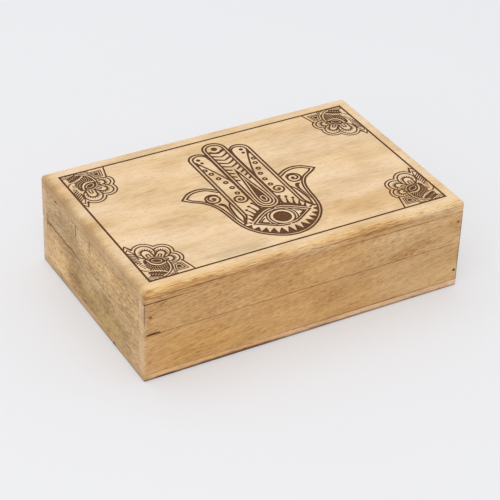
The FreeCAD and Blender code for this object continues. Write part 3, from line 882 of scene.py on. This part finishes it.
# %% [markdown]
# ## The border and the corner flowers
# A single line runs round the lid, and a henna flower fills each of its corners: three petals with
# rayed hearts, a bowl packed with flecks and dots, and two pointed leaves along the border.
# One flower is drawn outwards from the corner, and mirrors place it four times.

# %% Border
HALF_LID, BORDER_INSET = np.array((115.0, 75.0)), np.array((8.7, 9.6))
BORDER = HALF_LID - BORDER_INSET
frame_line = np.array([(-1, -1), (1, -1), (1, 1), (-1, 1)]) * BORDER
print("the border is", 2 * BORDER[0], "by", 2 * BORDER[1], "mm")

# %% Petals and leaves
petals = [((22.9, 16.8), 5.0, 5.4, 0), ((20.4, 24.9), 5.4, 6.2, 48), ((11.0, 28.8), 6.0, 7.0, 94)]


def way(angle, radius=1.0):
    """A step of this radius at an angle in degrees."""
    return radius * np.array([math.cos(math.radians(angle)), math.sin(math.radians(angle))])


def petal_shape(centre, half_width, half_length, turn, grow=0.0):
    """The oval of a petal, grown to all sides."""
    return arc(centre, (half_length + grow, half_width + grow), 0, 360, turn)[:-1]


def petal(centre, half_width, half_length, turn):
    """A petal with an arch of rays inside it, and a small arch at its heart."""
    shape = petal_shape(centre, half_width, half_length, turn)
    clear(shape)
    line(shape, FINE, closed=True)
    ahead = np.array([way(turn), way(turn + 90)])
    heart = np.array(centre) - 0.2 * half_length * ahead[0]
    size = np.array([0.5 * half_length, 0.52 * half_width])

    def arch(grow, back):
        """A round arch on two legs, set back from the petal's middle."""
        bend = arc((-back * half_length, 0), size * grow, -90, 90)
        legs = np.array([(-0.7 * half_length, -size[1] * grow), (-0.7 * half_length, size[1] * grow)])
        return heart + np.vstack([legs[:1], bend, legs[1:]]) @ ahead

    line(arch(1.0, 0.0), 1.2)
    line(arch(0.32, 0.3), 1.0)
    for angle in range(-84, 85, 21):
        out = way(angle)
        line(heart + np.array([out * size, out * size + 1.7 * out]) @ ahead, [FINE, 0.6])


def leaves():
    """Two pointed leaves along the border, one with ticks and one packed with lines."""
    clear([(0, 36.4), (2.4, 40.0), (4.6, 34.8), (4.7, 28.0), (6.2, 21.0), (0, 20.0)])
    line([(0, 36.4), (2.4, 40.0), (4.8, 34.4)], FINE)
    line([(0, 33.0), (2.3, 35.8), (4.1, 31.2), (4.6, 24.0)], 0.9)
    for tick in range(6):
        line([(0.3, 32.4 - 2.0 * tick), (4.2, 29.2 - 2.0 * tick)], [1.2, 0.7])
    clear([(20.0, 12.4), (28.4, 10.8), (31.0, 0), (13.0, 0), (16.0, 9.0)])
    line([(27.6, 12.4), (28.3, 10.6), (31.0, 0)], FINE)
    patch = np.array([(20.4, 11.4), (26.6, 10.4), (28.2, 2.6), (17.6, 2.6)])
    fill(patch)
    middle = patch.mean(axis=0)
    for share in (0.76, 0.4):
        pale(middle + share * (patch - middle), 0.52, closed=True)


print(len(petals), "petals in each flower")

# %% Boss and corners
BUD = np.array((13.6, 17.8))
BUD_TURN = -28
PETAL_BAND, PETAL_GAP = 2.8, 1.75


def boss():
    """The heart of the flower: a dark ground with flecks, a bud, pale bands and dots left in it."""
    fill(curve([(6.4, 21.4), (13.6, 22.6), (18.4, 20.0), (20.3, 13.6), (19.4, 8.0), (15.2, 3.0),
                (10.6, 0.6), (0.6, 0.6), (0.8, 3.8), (3.4, 5.4), (3.2, 8.6), (5.6, 10.4),
                (5.0, 14.0), (5.2, 17.0)], closed=True))
    for row, radius in enumerate((6.6, 8.2, 9.8, 11.4)):
        for angle in np.arange(184.0 + 4 * (row % 2), 336.0, 84.0 / radius):
            tilt = way(angle + 25, 0.35)
            fleck = BUD + way(angle, radius)
            pale([fleck - tilt, fleck + tilt], 0.4)
    fill(arc(BUD, (4.5, 3.0), 0, 360, BUD_TURN)[:-1])
    pale(arc(BUD, (3.1, 1.8), 0, 360, BUD_TURN), 0.45, closed=True)
    pale(arc(BUD, (5.5, 4.0), 15, 165, BUD_TURN), 0.5)
    pale(curve([(8.2, 20.6), (9.7, 16.0), (13.6, 13.3), (18.8, 14.2)]), [0.8, 1.2, 0.9])
    stalk = curve([(19.3, 14.4), (18.9, 10.2), (17.2, 6.2), (13.8, 3.1), (10.4, 1.6)])
    line(stalk, 2.6)
    pale(stalk, 0.75)
    line(curve([(0.4, 13.2), (2.6, 10.8), (5.6, 9.8)]), 0.9)
    pale(curve([(3.4, 9.6), (7.0, 9.2), (10.6, 7.6), (14.0, 4.8)]), 0.9)
    for place in range(11):
        dot((4.0 + 0.75 * place, 6.6 + 0.5 * (-1) ** place - 0.42 * place), 0.33, burnt=False)
    for reach in (2.8, 5.2, 7.6):
        pale([(0.8, 0.6 * reach), (1.2 * reach, 0.9)], 0.6)
    for place in range(5):
        line([(1.4 + 0.5 * place, 19.8 - 1.5 * place), (3.8 + 0.6 * place, 20.8 - 1.7 * place)],
             [0.8, 0.4])
        line([(14.6 + 1.1 * place, 0.6), (15.0 + 1.1 * place, 1.8 + 0.4 * place)], [0.8, 0.5])


for flip in ((1, 1), (-1, 1), (-1, -1), (1, -1)):
    drawing.at(-np.array(flip) * BORDER, flip)
    for grow, burnt in ((PETAL_BAND, True), (PETAL_GAP, False)):
        for shape in petals:
            fill(petal_shape(*shape, grow), burnt)
    leaves()
    for shape in petals:
        petal(*shape)
    boss()
drawing.at((0, 0))
line(frame_line, closed=True)
print(len(drawing.outlines), "outlines on the lid")

# %% [markdown]
# ## The burnt finish
# A hot point leaves a shallow brown trench, darkest where it lingered, with fine ridges where the
# head ran back and forth. The trench itself will be cut into the mesh, so the finish only has to
# give the char its two browns, its ridges and its dead matt surface.

# %% Char
def char(name):
    """Burnt wood, matt and ridged across."""
    material, place = new_finish(name)
    ridges = {"Vector": place, "Scale": 1.25, "Distortion": 0.6, "Detail": 1.0}
    passes = place.node("ShaderNodeTexWave", ridges, bands_direction="Y")
    soot = place.noise(0.9, 3.0)
    grit = place.noise(4.0, 2.0)
    shade = 0.9 * soot + 0.35 * grit + 0.3 * passes - 0.25
    colour = shade.smooth(0.15, 0.85).between(rgb(76, 45, 27), rgb(122, 82, 55))
    close_finish(place, {"Base Color": colour, "Roughness": 0.85, "Specular IOR Level": 0.15,
                         "Normal": (passes + grit).bump(0.4, 0.08)})
    return material


EDGE_STREAKS = 14
burnt_wood = char("burnt_wood")
lid_stains_and_shade = [
    ((0, -78, 57), (500, 10, 14), (0.73, 0.585, 0.4)),
    ((-112, -74, 62), (14, 10, 12), (1.16, 1.22, 1.32)),
    ((0, -75, 66.5), (500, 7, 7), (0.98, 0.905, 0.72)),
    ((-46, -60, 66), (38, 7, 30), (0.8, 0.79, 0.73)),
    ((80, -48, 66), (70, 14, 30), (0.92, 0.85, 0.74)),
    # painted shade: the next four darken the lid's left round-over and the flat margin beside it
    ((-118, 0, 62), (8.2, 300, 60), (0.79, 0.735, 0.65)),
    ((-118, 0, 62), (17, 300, 60), (0.92, 0.895, 0.845)),
    ((-116, 0, 62), (4.2, 300, 60), (0.9, 0.885, 0.85)),
    ((-115, 0, 63.0), (4, 300, 0.5), (0.8, 0.74, 0.66)),
]
for streak in range(EDGE_STREAKS):
    place = (-104 + 16 * streak, -76, 59.4 + 5.2 * wander((streak, 0, 0), 0.7, 11))
    reach = (20 + 3 * (streak % 4), 8, 0.55 + 0.1 * (streak % 3))
    lid_stains_and_shade.append((place, reach, (0.74, 0.66, 0.56)))
lid_wood = wood("lid_wood", LID_TONES, "X", (12, 55, 3), looks=(1.2, 0.45, 0.75), stains_and_shade=lid_stains_and_shade,
                bold=(-71.5, -74.0, 2.0))
print("two browns in the char, four creams in the lid")

# %% [markdown]
# ## Cutting the drawing into the lid
# A bump map could fake the trenches, but they would be missing from the mesh itself. A Boolean for
# each of the strokes would take minutes. Instead the whole flat top is cut into triangles along
# every outline at once (a constrained triangulation). Each triangle then asks which outline was
# drawn over it last. Burnt triangles sink by the depth of a trench, and short walls close the sides.

# %% The rounded board, ring by ring
low, high = (np.array(corner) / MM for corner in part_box("lid_top_board"))
TOP_ROUND, CORNER_EASE, FLAT_MARGIN = 3.2, 1.2, 0.5
CORNERS = ((1, -1), (1, 1), (-1, 1), (-1, -1))
OUTWARDS = ((1, 0), (0, 1), (-1, 0), (0, -1))
SIDE_STEPS = (30, 46, 30, 46)
UNDERSIDE_INSET = 6.0


def lid_ring(inset, level, worn):
    """Points round the board at one level, anticlockwise from above, set in from its sides."""
    half = (high - low)[:2] / 2 - HAIR - inset
    points = []
    for turn, count in enumerate(SIDE_STEPS):
        centre, nearby = ((half - CORNER_EASE) * CORNERS[(turn + k) % 4] for k in (0, 1))
        points += list(arc(centre, CORNER_EASE, 90 * turn - 90, 90 * turn))[::2]
        start = centre + CORNER_EASE * np.array(OUTWARDS[turn])
        stop = nearby + (start - centre)
        points += [start + (stop - start) * k / count for k in range(1, count)]
    ring = np.array([(x, y, level) for x, y in points])
    for point in ring:
        point[:2] -= np.sign(point[:2]) * worn * WEAR[0] * wander(point, 0.12, 3)
    return ring


bottom = low[2] + HAIR
levels = [(UNDERSIDE_INSET, bottom), (0.35, bottom), (0.08, low[2] + 0.12), (0.0, low[2] + 0.4)]
for turn in np.radians([0, 12, 25, 38, 52, 65, 78, 90]):
    levels.append((TOP_ROUND * (1 - math.cos(turn)), high[2] - TOP_ROUND + TOP_ROUND * math.sin(turn)))
levels.append((TOP_ROUND + FLAT_MARGIN, high[2]))
rings = [lid_ring(inset, level, 0 < inset < UNDERSIDE_INSET) for inset, level in levels]
print(len(rings), "rings of", len(rings[0]), "points")

# %% Triangles along every outline
MERGE = 0.002
edge = [Vector(point[:2]) for point in rings[-1]]
spots, edges = list(edge), [(k, (k + 1) % len(edge)) for k in range(len(edge))]
for outline, burnt in drawing.outlines:
    first = len(spots)
    spots += [Vector(point) for point in outline]
    edges += [(first + k, first + (k + 1) % len(outline)) for k in range(len(outline))]
mosaic = geometry.delaunay_2d_cdt(spots, edges, [], 0, MERGE, True)
flat = np.array([tuple(spot) for spot in mosaic[0]])
triangles = np.array(mosaic[2])
middles = flat[triangles].mean(axis=1)


def inside(outline, points):
    """Which points lie within an outline: a line to the right crosses it an odd number of times."""
    x, y = points.T
    within = np.zeros(len(points), bool)
    for (x0, y0), (x1, y1) in zip(outline, np.roll(outline, -1, axis=0)):
        if y0 != y1:
            crosses = (y0 > y) != (y1 > y)
            within ^= crosses & (x < x0 + (y - y0) * (x1 - x0) / (y1 - y0))
    return within


burnt_face = np.zeros(len(triangles), bool)
for outline, burnt in drawing.outlines:
    nearby = (middles >= outline.min(axis=0)) & (middles <= outline.max(axis=0))
    near = nearby.all(axis=1).nonzero()[0]
    burnt_face[near[inside(outline, middles[near])]] = burnt
print(len(triangles), "triangles,", int(burnt_face.sum()), "of them burnt")

# %% The engraved lid board
TRENCH = 0.35
count = len(flat)
depth = [TRENCH * (0.75 + 0.5 * wander((u, v, 0), 0.5, 9)) for u, v in flat]
top = np.column_stack([flat, np.full(count, high[2])])
floor = np.column_stack([flat, high[2] - np.array(depth)])
owner = {}
for face, (a, b, c) in enumerate(triangles):
    for pair in ((a, b), (b, c), (c, a)):
        owner[pair] = face
walls = [(a, b, b + count, a + count) for (a, b), face in owner.items()
         if burnt_face[face] and (b, a) in owner and not burnt_face[owner[(b, a)]]]
faces = [tuple(t + count) if burnt_face[k] else tuple(t) for k, t in enumerate(triangles)]
dark = list(burnt_face) + [True] * len(walls)
faces += walls
size = len(edge)
rim = {source: index for index, sources in enumerate(mosaic[3]) for source in sources if source < size}
points = [top, floor] + rings[:-1]
for ring in range(len(rings) - 1):
    start = 2 * count + ring * size
    for k in range(size):
        n = (k + 1) % size
        above = [rim[k], rim[n]] if ring == len(rings) - 2 else [start + size + k, start + size + n]
        faces.append((start + k, start + n, above[1], above[0]))
faces.append(tuple(2 * count + k for k in reversed(range(size))))
dark += [False] * (len(faces) - len(dark))
mesh = bpy.data.meshes.new("lid_top_board_engraved")
mesh.from_pydata(np.vstack(points) * MM, [], faces)
mesh.materials.append(lid_wood)
mesh.materials.append(burnt_wood)
mesh.polygons.foreach_set("material_index", [int(d) for d in dark])
shape = bmesh.new()
shape.from_mesh(mesh)
bmesh.ops.delete(shape, geom=[v for v in shape.verts if not v.link_faces], context="VERTS")
shape.to_mesh(mesh)
shape.free()
mesh.validate()
lid_board = linked("lid_top_board_engraved", mesh)
shade_softly(lid_board, crease=30.0)
belongs(lid_board, "lid", "lid_panel_wood", "lid_top_board")
print(lid_board.name, len(lid_board.data.polygons), "faces")

# %% [markdown]
# ## Metal finishes
# The hinges and their screws are thin stamped brass that has dulled in the hand, the hinge pins are
# drawn steel wire, and the nails are dark iron punched below the wood. Metal gets its colour from
# what it mirrors, so each finish is mostly roughness: fine scratches along one way, and a brown bloom
# where fingers never polish.

# %% Brass, wire and iron
def metal(name, bright, tarnish, bloom, rough, scratch):
    """A metal with a brown bloom in patches and fine scratches along X."""
    material, place = new_finish(name)
    spread = place.noise(0.35, 4.0) - 0.5
    speck = place.noise(2.6, 3.0) - 0.5
    brush = place.vector("MULTIPLY", (0.25, 9.0, 9.0)).noise(1.0, 2.0) - 0.5
    stain = (spread + 0.6 * speck + bloom - 0.5).smooth(-0.12, 0.3)
    colour = stain.between(bright, tarnish)
    dull = rough + 0.3 * stain + scratch * brush
    close_finish(place, {"Base Color": colour, "Metallic": 1 - 0.35 * stain, "Roughness": dull,
                         "Normal": (brush + speck).bump(0.25, 0.03)})
    return material


hinge_brass = metal("dulled_brass", rgb(214, 176, 104), rgb(134, 96, 50), 0.45, 0.30, 0.25)
screw_brass = metal("turned_brass", rgb(206, 168, 98), rgb(120, 86, 46), 0.50, 0.28, 0.20)
pin_wire = metal("drawn_wire", rgb(186, 184, 180), rgb(104, 94, 84), 0.40, 0.26, 0.30)
nail_iron = metal("dark_iron", rgb(46, 40, 36), rgb(34, 24, 18), 0.62, 0.60, 0.20)
dark_wax = wood("dark_wax", [rgb(82, 55, 32), rgb(124, 88, 53), rgb(150, 110, 70), rgb(172, 132, 88)])
pale_wax = wood("pale_wax", [rgb(150, 108, 64), rgb(184, 140, 88), rgb(200, 156, 104), rgb(210, 168, 116)])
for side in ("left", "right"):
    for part, finish in (("base_leaf", hinge_brass), ("lid_leaf", hinge_brass), ("pin", pin_wire)):
        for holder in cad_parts[f"{side}_hinge_{part}"].material_slots:
            holder.material = finish
print("leaves and pins keep their packed shape and get metal")

# %% [markdown]
# ## Nails and screws
# What repeats is left to Geometry Nodes: one nail or one screw is modelled in the tree, and it is
# set on a point for each place, turned to face outwards and spun by chance, because nobody lines up
# screw slots on a box like this. The places are read from the packed nails and screws themselves.

# %% Where the fasteners are
def separate_solids(node):
    """The corners, in millimetres, of each separate solid in a packed node, from the left."""
    shape = closed_shell(node)
    waiting, corners = set(shape.verts), []
    while waiting:
        group, fresh = set(), [waiting.pop()]
        while fresh:
            vertex = fresh.pop()
            group.add(vertex)
            beyond = {edge.other_vert(vertex) for edge in vertex.link_edges} & waiting
            waiting -= beyond
            fresh += beyond
        spots = np.array([tuple(vertex.co) for vertex in group]) / MM
        corners.append((spots.min(axis=0), spots.max(axis=0)))
    shape.free()
    return sorted(corners, key=lambda pair: tuple(pair[0]))


def head_of(corners, aim):
    """The middle of a fastener's head, on the end that it faces."""
    middle, half = (corners[0] + corners[1]) / 2, (corners[1] - corners[0]) / 2
    return middle + half * aim


def outward(corners):
    """Front nails face forwards, and back nails backwards."""
    return np.array([0.0, math.copysign(1.0, corners[0][1]), 0.0])


UP, DOWN = np.array([0.0, 0.0, 1.0]), np.array([0.0, 0.0, -1.0])
print("nails in the lid:", len(separate_solids("lid_corner_nails")))

# %% A tree that sets one fastener on every point
def new_tree(name, sizes):
    """A Geometry Nodes tree with points and named sizes, in metres, going in."""
    tree = bpy.data.node_groups.new(name, "GeometryNodeTree")

    def socket(label, kind, way="INPUT"):
        """One of the tree's own sockets."""
        return tree.interface.new_socket(label, in_out=way, socket_type="NodeSocket" + kind)

    socket("Points", "Geometry")
    for label, value in sizes.items():
        socket(label, "Float").default_value = value
    socket("Seed", "Int")
    socket("Finish", "Material")
    socket("Fasteners", "Geometry", "OUTPUT")
    start = Wire(tree)
    return tree, start, lambda label: start.node("NodeGroupInput", output=label)


def upward(start, amount):
    """Three numbers, of which only the last isn't 0."""
    return start.node("ShaderNodeCombineXYZ", {"Z": amount})


def raised(start, shape, level):
    """A shape lifted to a level."""
    return start.node("GeometryNodeTransform", {"Geometry": shape, "Translation": upward(start, level)})


def cone(start, top, bottom, long, level, sides=28):
    """A cone or rod of a length that stands on a level."""
    body = {"Vertices": sides, "Radius Top": top, "Radius Bottom": bottom, "Depth": long}
    return raised(start, start.node("GeometryNodeMeshCone", body), level)


def united(start, first, second):
    """Two shapes as one."""
    made = start.node("GeometryNodeMeshBoolean", {"Mesh 2": first}, operation="UNION", solver="EXACT")
    start.tree.links.new(second.socket, made.socket.node.inputs["Mesh 2"])
    return made


def pierced(start, shape, tool):
    """A shape with another one cut out of it."""
    pair = {"Mesh 1": shape, "Mesh 2": tool}
    return start.node("GeometryNodeMeshBoolean", pair, operation="DIFFERENCE", solver="EXACT")


def set_on_points(start, given, shape):
    """Puts the shape on each point, facing the way it aims, and ends the tree."""
    aim = start.node("GeometryNodeInputNamedAttribute", {"Name": "aim"}, data_type="FLOAT_VECTOR")
    facing = start.node("FunctionNodeAlignRotationToVector", {"Vector": aim}, axis="Z")
    chance = start.node("FunctionNodeRandomValue", {2: 0.0, 3: math.tau, 8: given("Seed")}, 1,
                        data_type="FLOAT")
    spin = start.node("FunctionNodeEulerToRotation", {"Euler": upward(start, chance)})
    turned = start.node("FunctionNodeRotateRotation", {"Rotation": facing, "Rotate By": spin},
                        rotation_space="LOCAL")
    places = {"Points": given("Points"), "Instance": shape, "Rotation": turned}
    placed = start.node("GeometryNodeInstanceOnPoints", places)
    real = start.node("GeometryNodeRealizeInstances", {"Geometry": placed})
    done = start.node("GeometryNodeSetMaterial", {"Geometry": real, "Material": given("Finish")})
    start.node("NodeGroupOutput", {"Fasteners": done})


print("a tree takes points with an aim, and gives fasteners")

# %% One nail and one screw
def nail_tree():
    """A nail with a coned head that the punch has dimpled, and a drawn point."""
    sizes = {"Head radius": 1.05 * MM, "Head depth": 0.8 * MM, "Shank radius": 0.65 * MM,
             "Length": 18.0 * MM, "Dimple": 0.55 * MM}
    tree, start, given = new_tree("punched_nail", sizes)
    head, deep, shank, long, dimple = (given(label) for label in sizes)
    point = 2.0 * deep
    top = cone(start, head, shank, deep, 0.0 - deep)
    rod = cone(start, shank, shank, long - deep - point, point - long, 16)
    tip = cone(start, shank, 0.25 * shank, point, 0.0 - long, 16)
    whole = united(start, united(start, top, rod), tip)
    ball = start.node("GeometryNodeMeshUVSphere", {"Segments": 16, "Rings": 10, "Radius": dimple})
    set_on_points(start, given, pierced(start, whole, raised(start, ball, 0.75 * dimple)))
    return tree


def screw_tree():
    """A countersunk screw with a slot across its head."""
    sizes = {"Head radius": 1.4 * MM, "Head depth": 0.6 * MM, "Shank radius": 0.8 * MM,
             "Length": 8.0 * MM, "Slot width": 0.4 * MM, "Slot depth": 0.3 * MM}
    tree, start, given = new_tree("slotted_screw", sizes)
    head, deep, shank, long, slot_wide, slot_deep = (given(label) for label in sizes)
    top = cone(start, head, shank, deep, 0.0 - deep)
    rod = cone(start, shank, 0.3 * shank, long - deep, 0.0 - long, 18)
    room = start.node("ShaderNodeCombineXYZ", {"X": 3.0 * head, "Y": slot_wide, "Z": 2.0 * slot_deep})
    slot = start.node("GeometryNodeMeshCube", {"Size": room})
    set_on_points(start, given, pierced(start, united(start, top, rod), slot))
    return tree


nail, screw = nail_tree(), screw_tree()
print("trees:", nail.name, screw.name)

# %% Set the nails and screws
def fasteners(node, body, slot, tree, finish, aims, seed, length, bare=None, wax=None):
    """One plain mesh with every fastener of a packed node, in its place.

    Aims is one way to face, or says it for each fastener. Wax covers all that bare doesn't leave out.
    """
    solids = separate_solids(node)
    facing = [aims(corners) if callable(aims) else aims for corners in solids]
    heads = [head_of(corners, aim) * MM for corners, aim in zip(solids, facing)]
    mesh = bpy.data.meshes.new(node + "_set")
    mesh.from_pydata([tuple(head) for head in heads], [], [])
    aim = mesh.attributes.new("aim", "FLOAT_VECTOR", "POINT")
    aim.data.foreach_set("vector", np.concatenate(facing))
    piece = linked(node + "_set", mesh)
    maker = piece.modifiers.new("set", "NODES")
    maker.node_group = tree
    inputs = {item.name: item.identifier for item in tree.interface.items_tree if item.in_out == "INPUT"}
    maker[inputs["Seed"]] = seed
    maker[inputs["Finish"]] = finish
    maker[inputs["Length"]] = length * MM
    settled(piece)
    shade_softly(piece, crease=30.0)
    piece.data.materials.clear()
    for coat in (finish, wax) if bare else (finish,):
        piece.data.materials.append(coat)
    for face in piece.data.polygons:
        face.material_index = 1 if bare and not bare(face.center / MM) else 0
    belongs(piece, body, slot, node)
    print(piece.name, len(solids), "fasteners,", len(piece.data.polygons), "faces")


def right_front(place):
    """The one corner where the wax has fallen off the nails."""
    return place.x > 0 and place.y < 0


def lid_back(place):
    """The back of the lid, where no wax was rubbed in."""
    return place.y > 0


fasteners("lid_corner_nails", "lid", "nail_steel", nail, nail_iron, outward, 1, 18.0, lid_back, dark_wax)
fasteners("base_corner_nails", "base", "nail_steel", nail, nail_iron, outward, 2, 18.0, right_front,
          pale_wax)
fasteners("bottom_board_nails", "base", "nail_steel", nail, nail_iron, DOWN, 3, 14.0)
fasteners("base_leaf_screws", "base", "screw_brass", screw, screw_brass, UP, 4, 8.0)
fasteners("lid_leaf_screws", "lid", "screw_brass", screw, screw_brass, DOWN, 5, 8.0)

# %% [markdown]
# ## Floor, light and camera
# The box stands on a plain white sheet under broad soft light, so its shadow is only a dark line at
# the foot and a faint bloom; that dark line is also painted shade on the bottom board's lower edge.
# An even sky gives most of the light, one large lamp overhead makes the lid a little brighter than
# the sides, and one in front softens the shadow at the foot. The camera is a long lens, set where
# the photograph's straight edges say that it stood.

# %% White sheet
SHEET_GLOW = 0.32
SHEET_RADIUS = 4.0


def looked_at(start):
    """1 for what the camera sees, also by way of a shiny face, and 0 for what only lights the scene."""
    direct = start.node("ShaderNodeLightPath", output="Is Camera Ray")
    mirrored = start.node("ShaderNodeLightPath", output="Is Glossy Ray")
    return start.math("MAXIMUM", direct, mirrored)


material, place = new_finish("white_sheet")
paper = place.node("ShaderNodeBsdfPrincipled", {
    "Base Color": place.noise(0.004, 2.0).between(rgb(236, 237, 241), rgb(239, 240, 244)),
    "Roughness": 0.9, "Specular IOR Level": 0.1})
lit = place.node("ShaderNodeEmission", {"Color": rgb(240, 240, 241), "Strength": 1.0})
both = place.node("ShaderNodeMixShader", {0: SHEET_GLOW * looked_at(place), 1: paper, 2: lit})
place.node("ShaderNodeOutputMaterial", {"Surface": both})
sheet = bmesh.new()
bmesh.ops.create_circle(sheet, cap_ends=True, segments=96, radius=SHEET_RADIUS)
floor_sheet = object_of(sheet, "white_sheet")
floor_sheet.data.materials.append(material)
print("the sheet is", 2 * SHEET_RADIUS, "m wide")

# %% Lamps
SKY_STRENGTH = 0.76
sky = bpy.data.worlds.new("soft_sky")
bpy.context.scene.world = sky
sky.use_nodes = True
sky.node_tree.nodes.clear()
start = Wire(sky.node_tree)
shade = start.node("ShaderNodeBackground", {"Color": (1.0, 1.0, 1.0, 1.0), "Strength": SKY_STRENGTH})
seen = start.node("ShaderNodeBackground", {"Color": rgb(238, 238, 240), "Strength": 1.0})
both = start.node("ShaderNodeMixShader", {0: looked_at(start), 1: shade, 2: seen})
start.node("ShaderNodeOutputWorld", {"Surface": both})


def towards(place, aim):
    """The turn with which a lamp or a camera at a place looks at a point."""
    return (Vector(aim) - Vector(place)).to_track_quat("-Z", "Y")


def softbox(name, place, aim, size, watts):
    """A large square lamp that looks at a point."""
    lamp = bpy.data.lights.new(name, "AREA")
    lamp.energy = watts
    lamp.shape = "SQUARE"
    lamp.size = size
    stand = linked(name, lamp)
    stand.location = place
    stand.rotation_euler = towards(place, aim).to_euler()


softbox("overhead", (-0.15, 0.3, 1.5), (0.0, 0.0, 0.03), 1.4, 4.0)
softbox("front_fill", (-0.9, -1.0, 1.3), (0.0, -0.1, 0.0), 1.4, 6.5)
print("one sky and two lamps")

# %% Camera
STAND = Vector((-0.5015, -0.8565, 0.6875))
AIM = Vector((-0.0117, -0.0204, 0.0333))
ROLL = 2.07
FOCAL = 130.6
lens = bpy.data.cameras.new("long_lens")
lens.lens = FOCAL
lens.sensor_width = 36.0
camera = linked("camera", lens)
upright = towards(STAND, AIM).to_matrix().to_4x4()
camera.matrix_world = Matrix.Translation(STAND) @ upright @ Matrix.Rotation(math.radians(ROLL), 4, "Z")
bpy.context.scene.camera = camera
bpy.context.scene.view_settings.view_transform = "Standard"
print("camera", [round(part, 3) for part in camera.location], "lens", FOCAL, "mm")
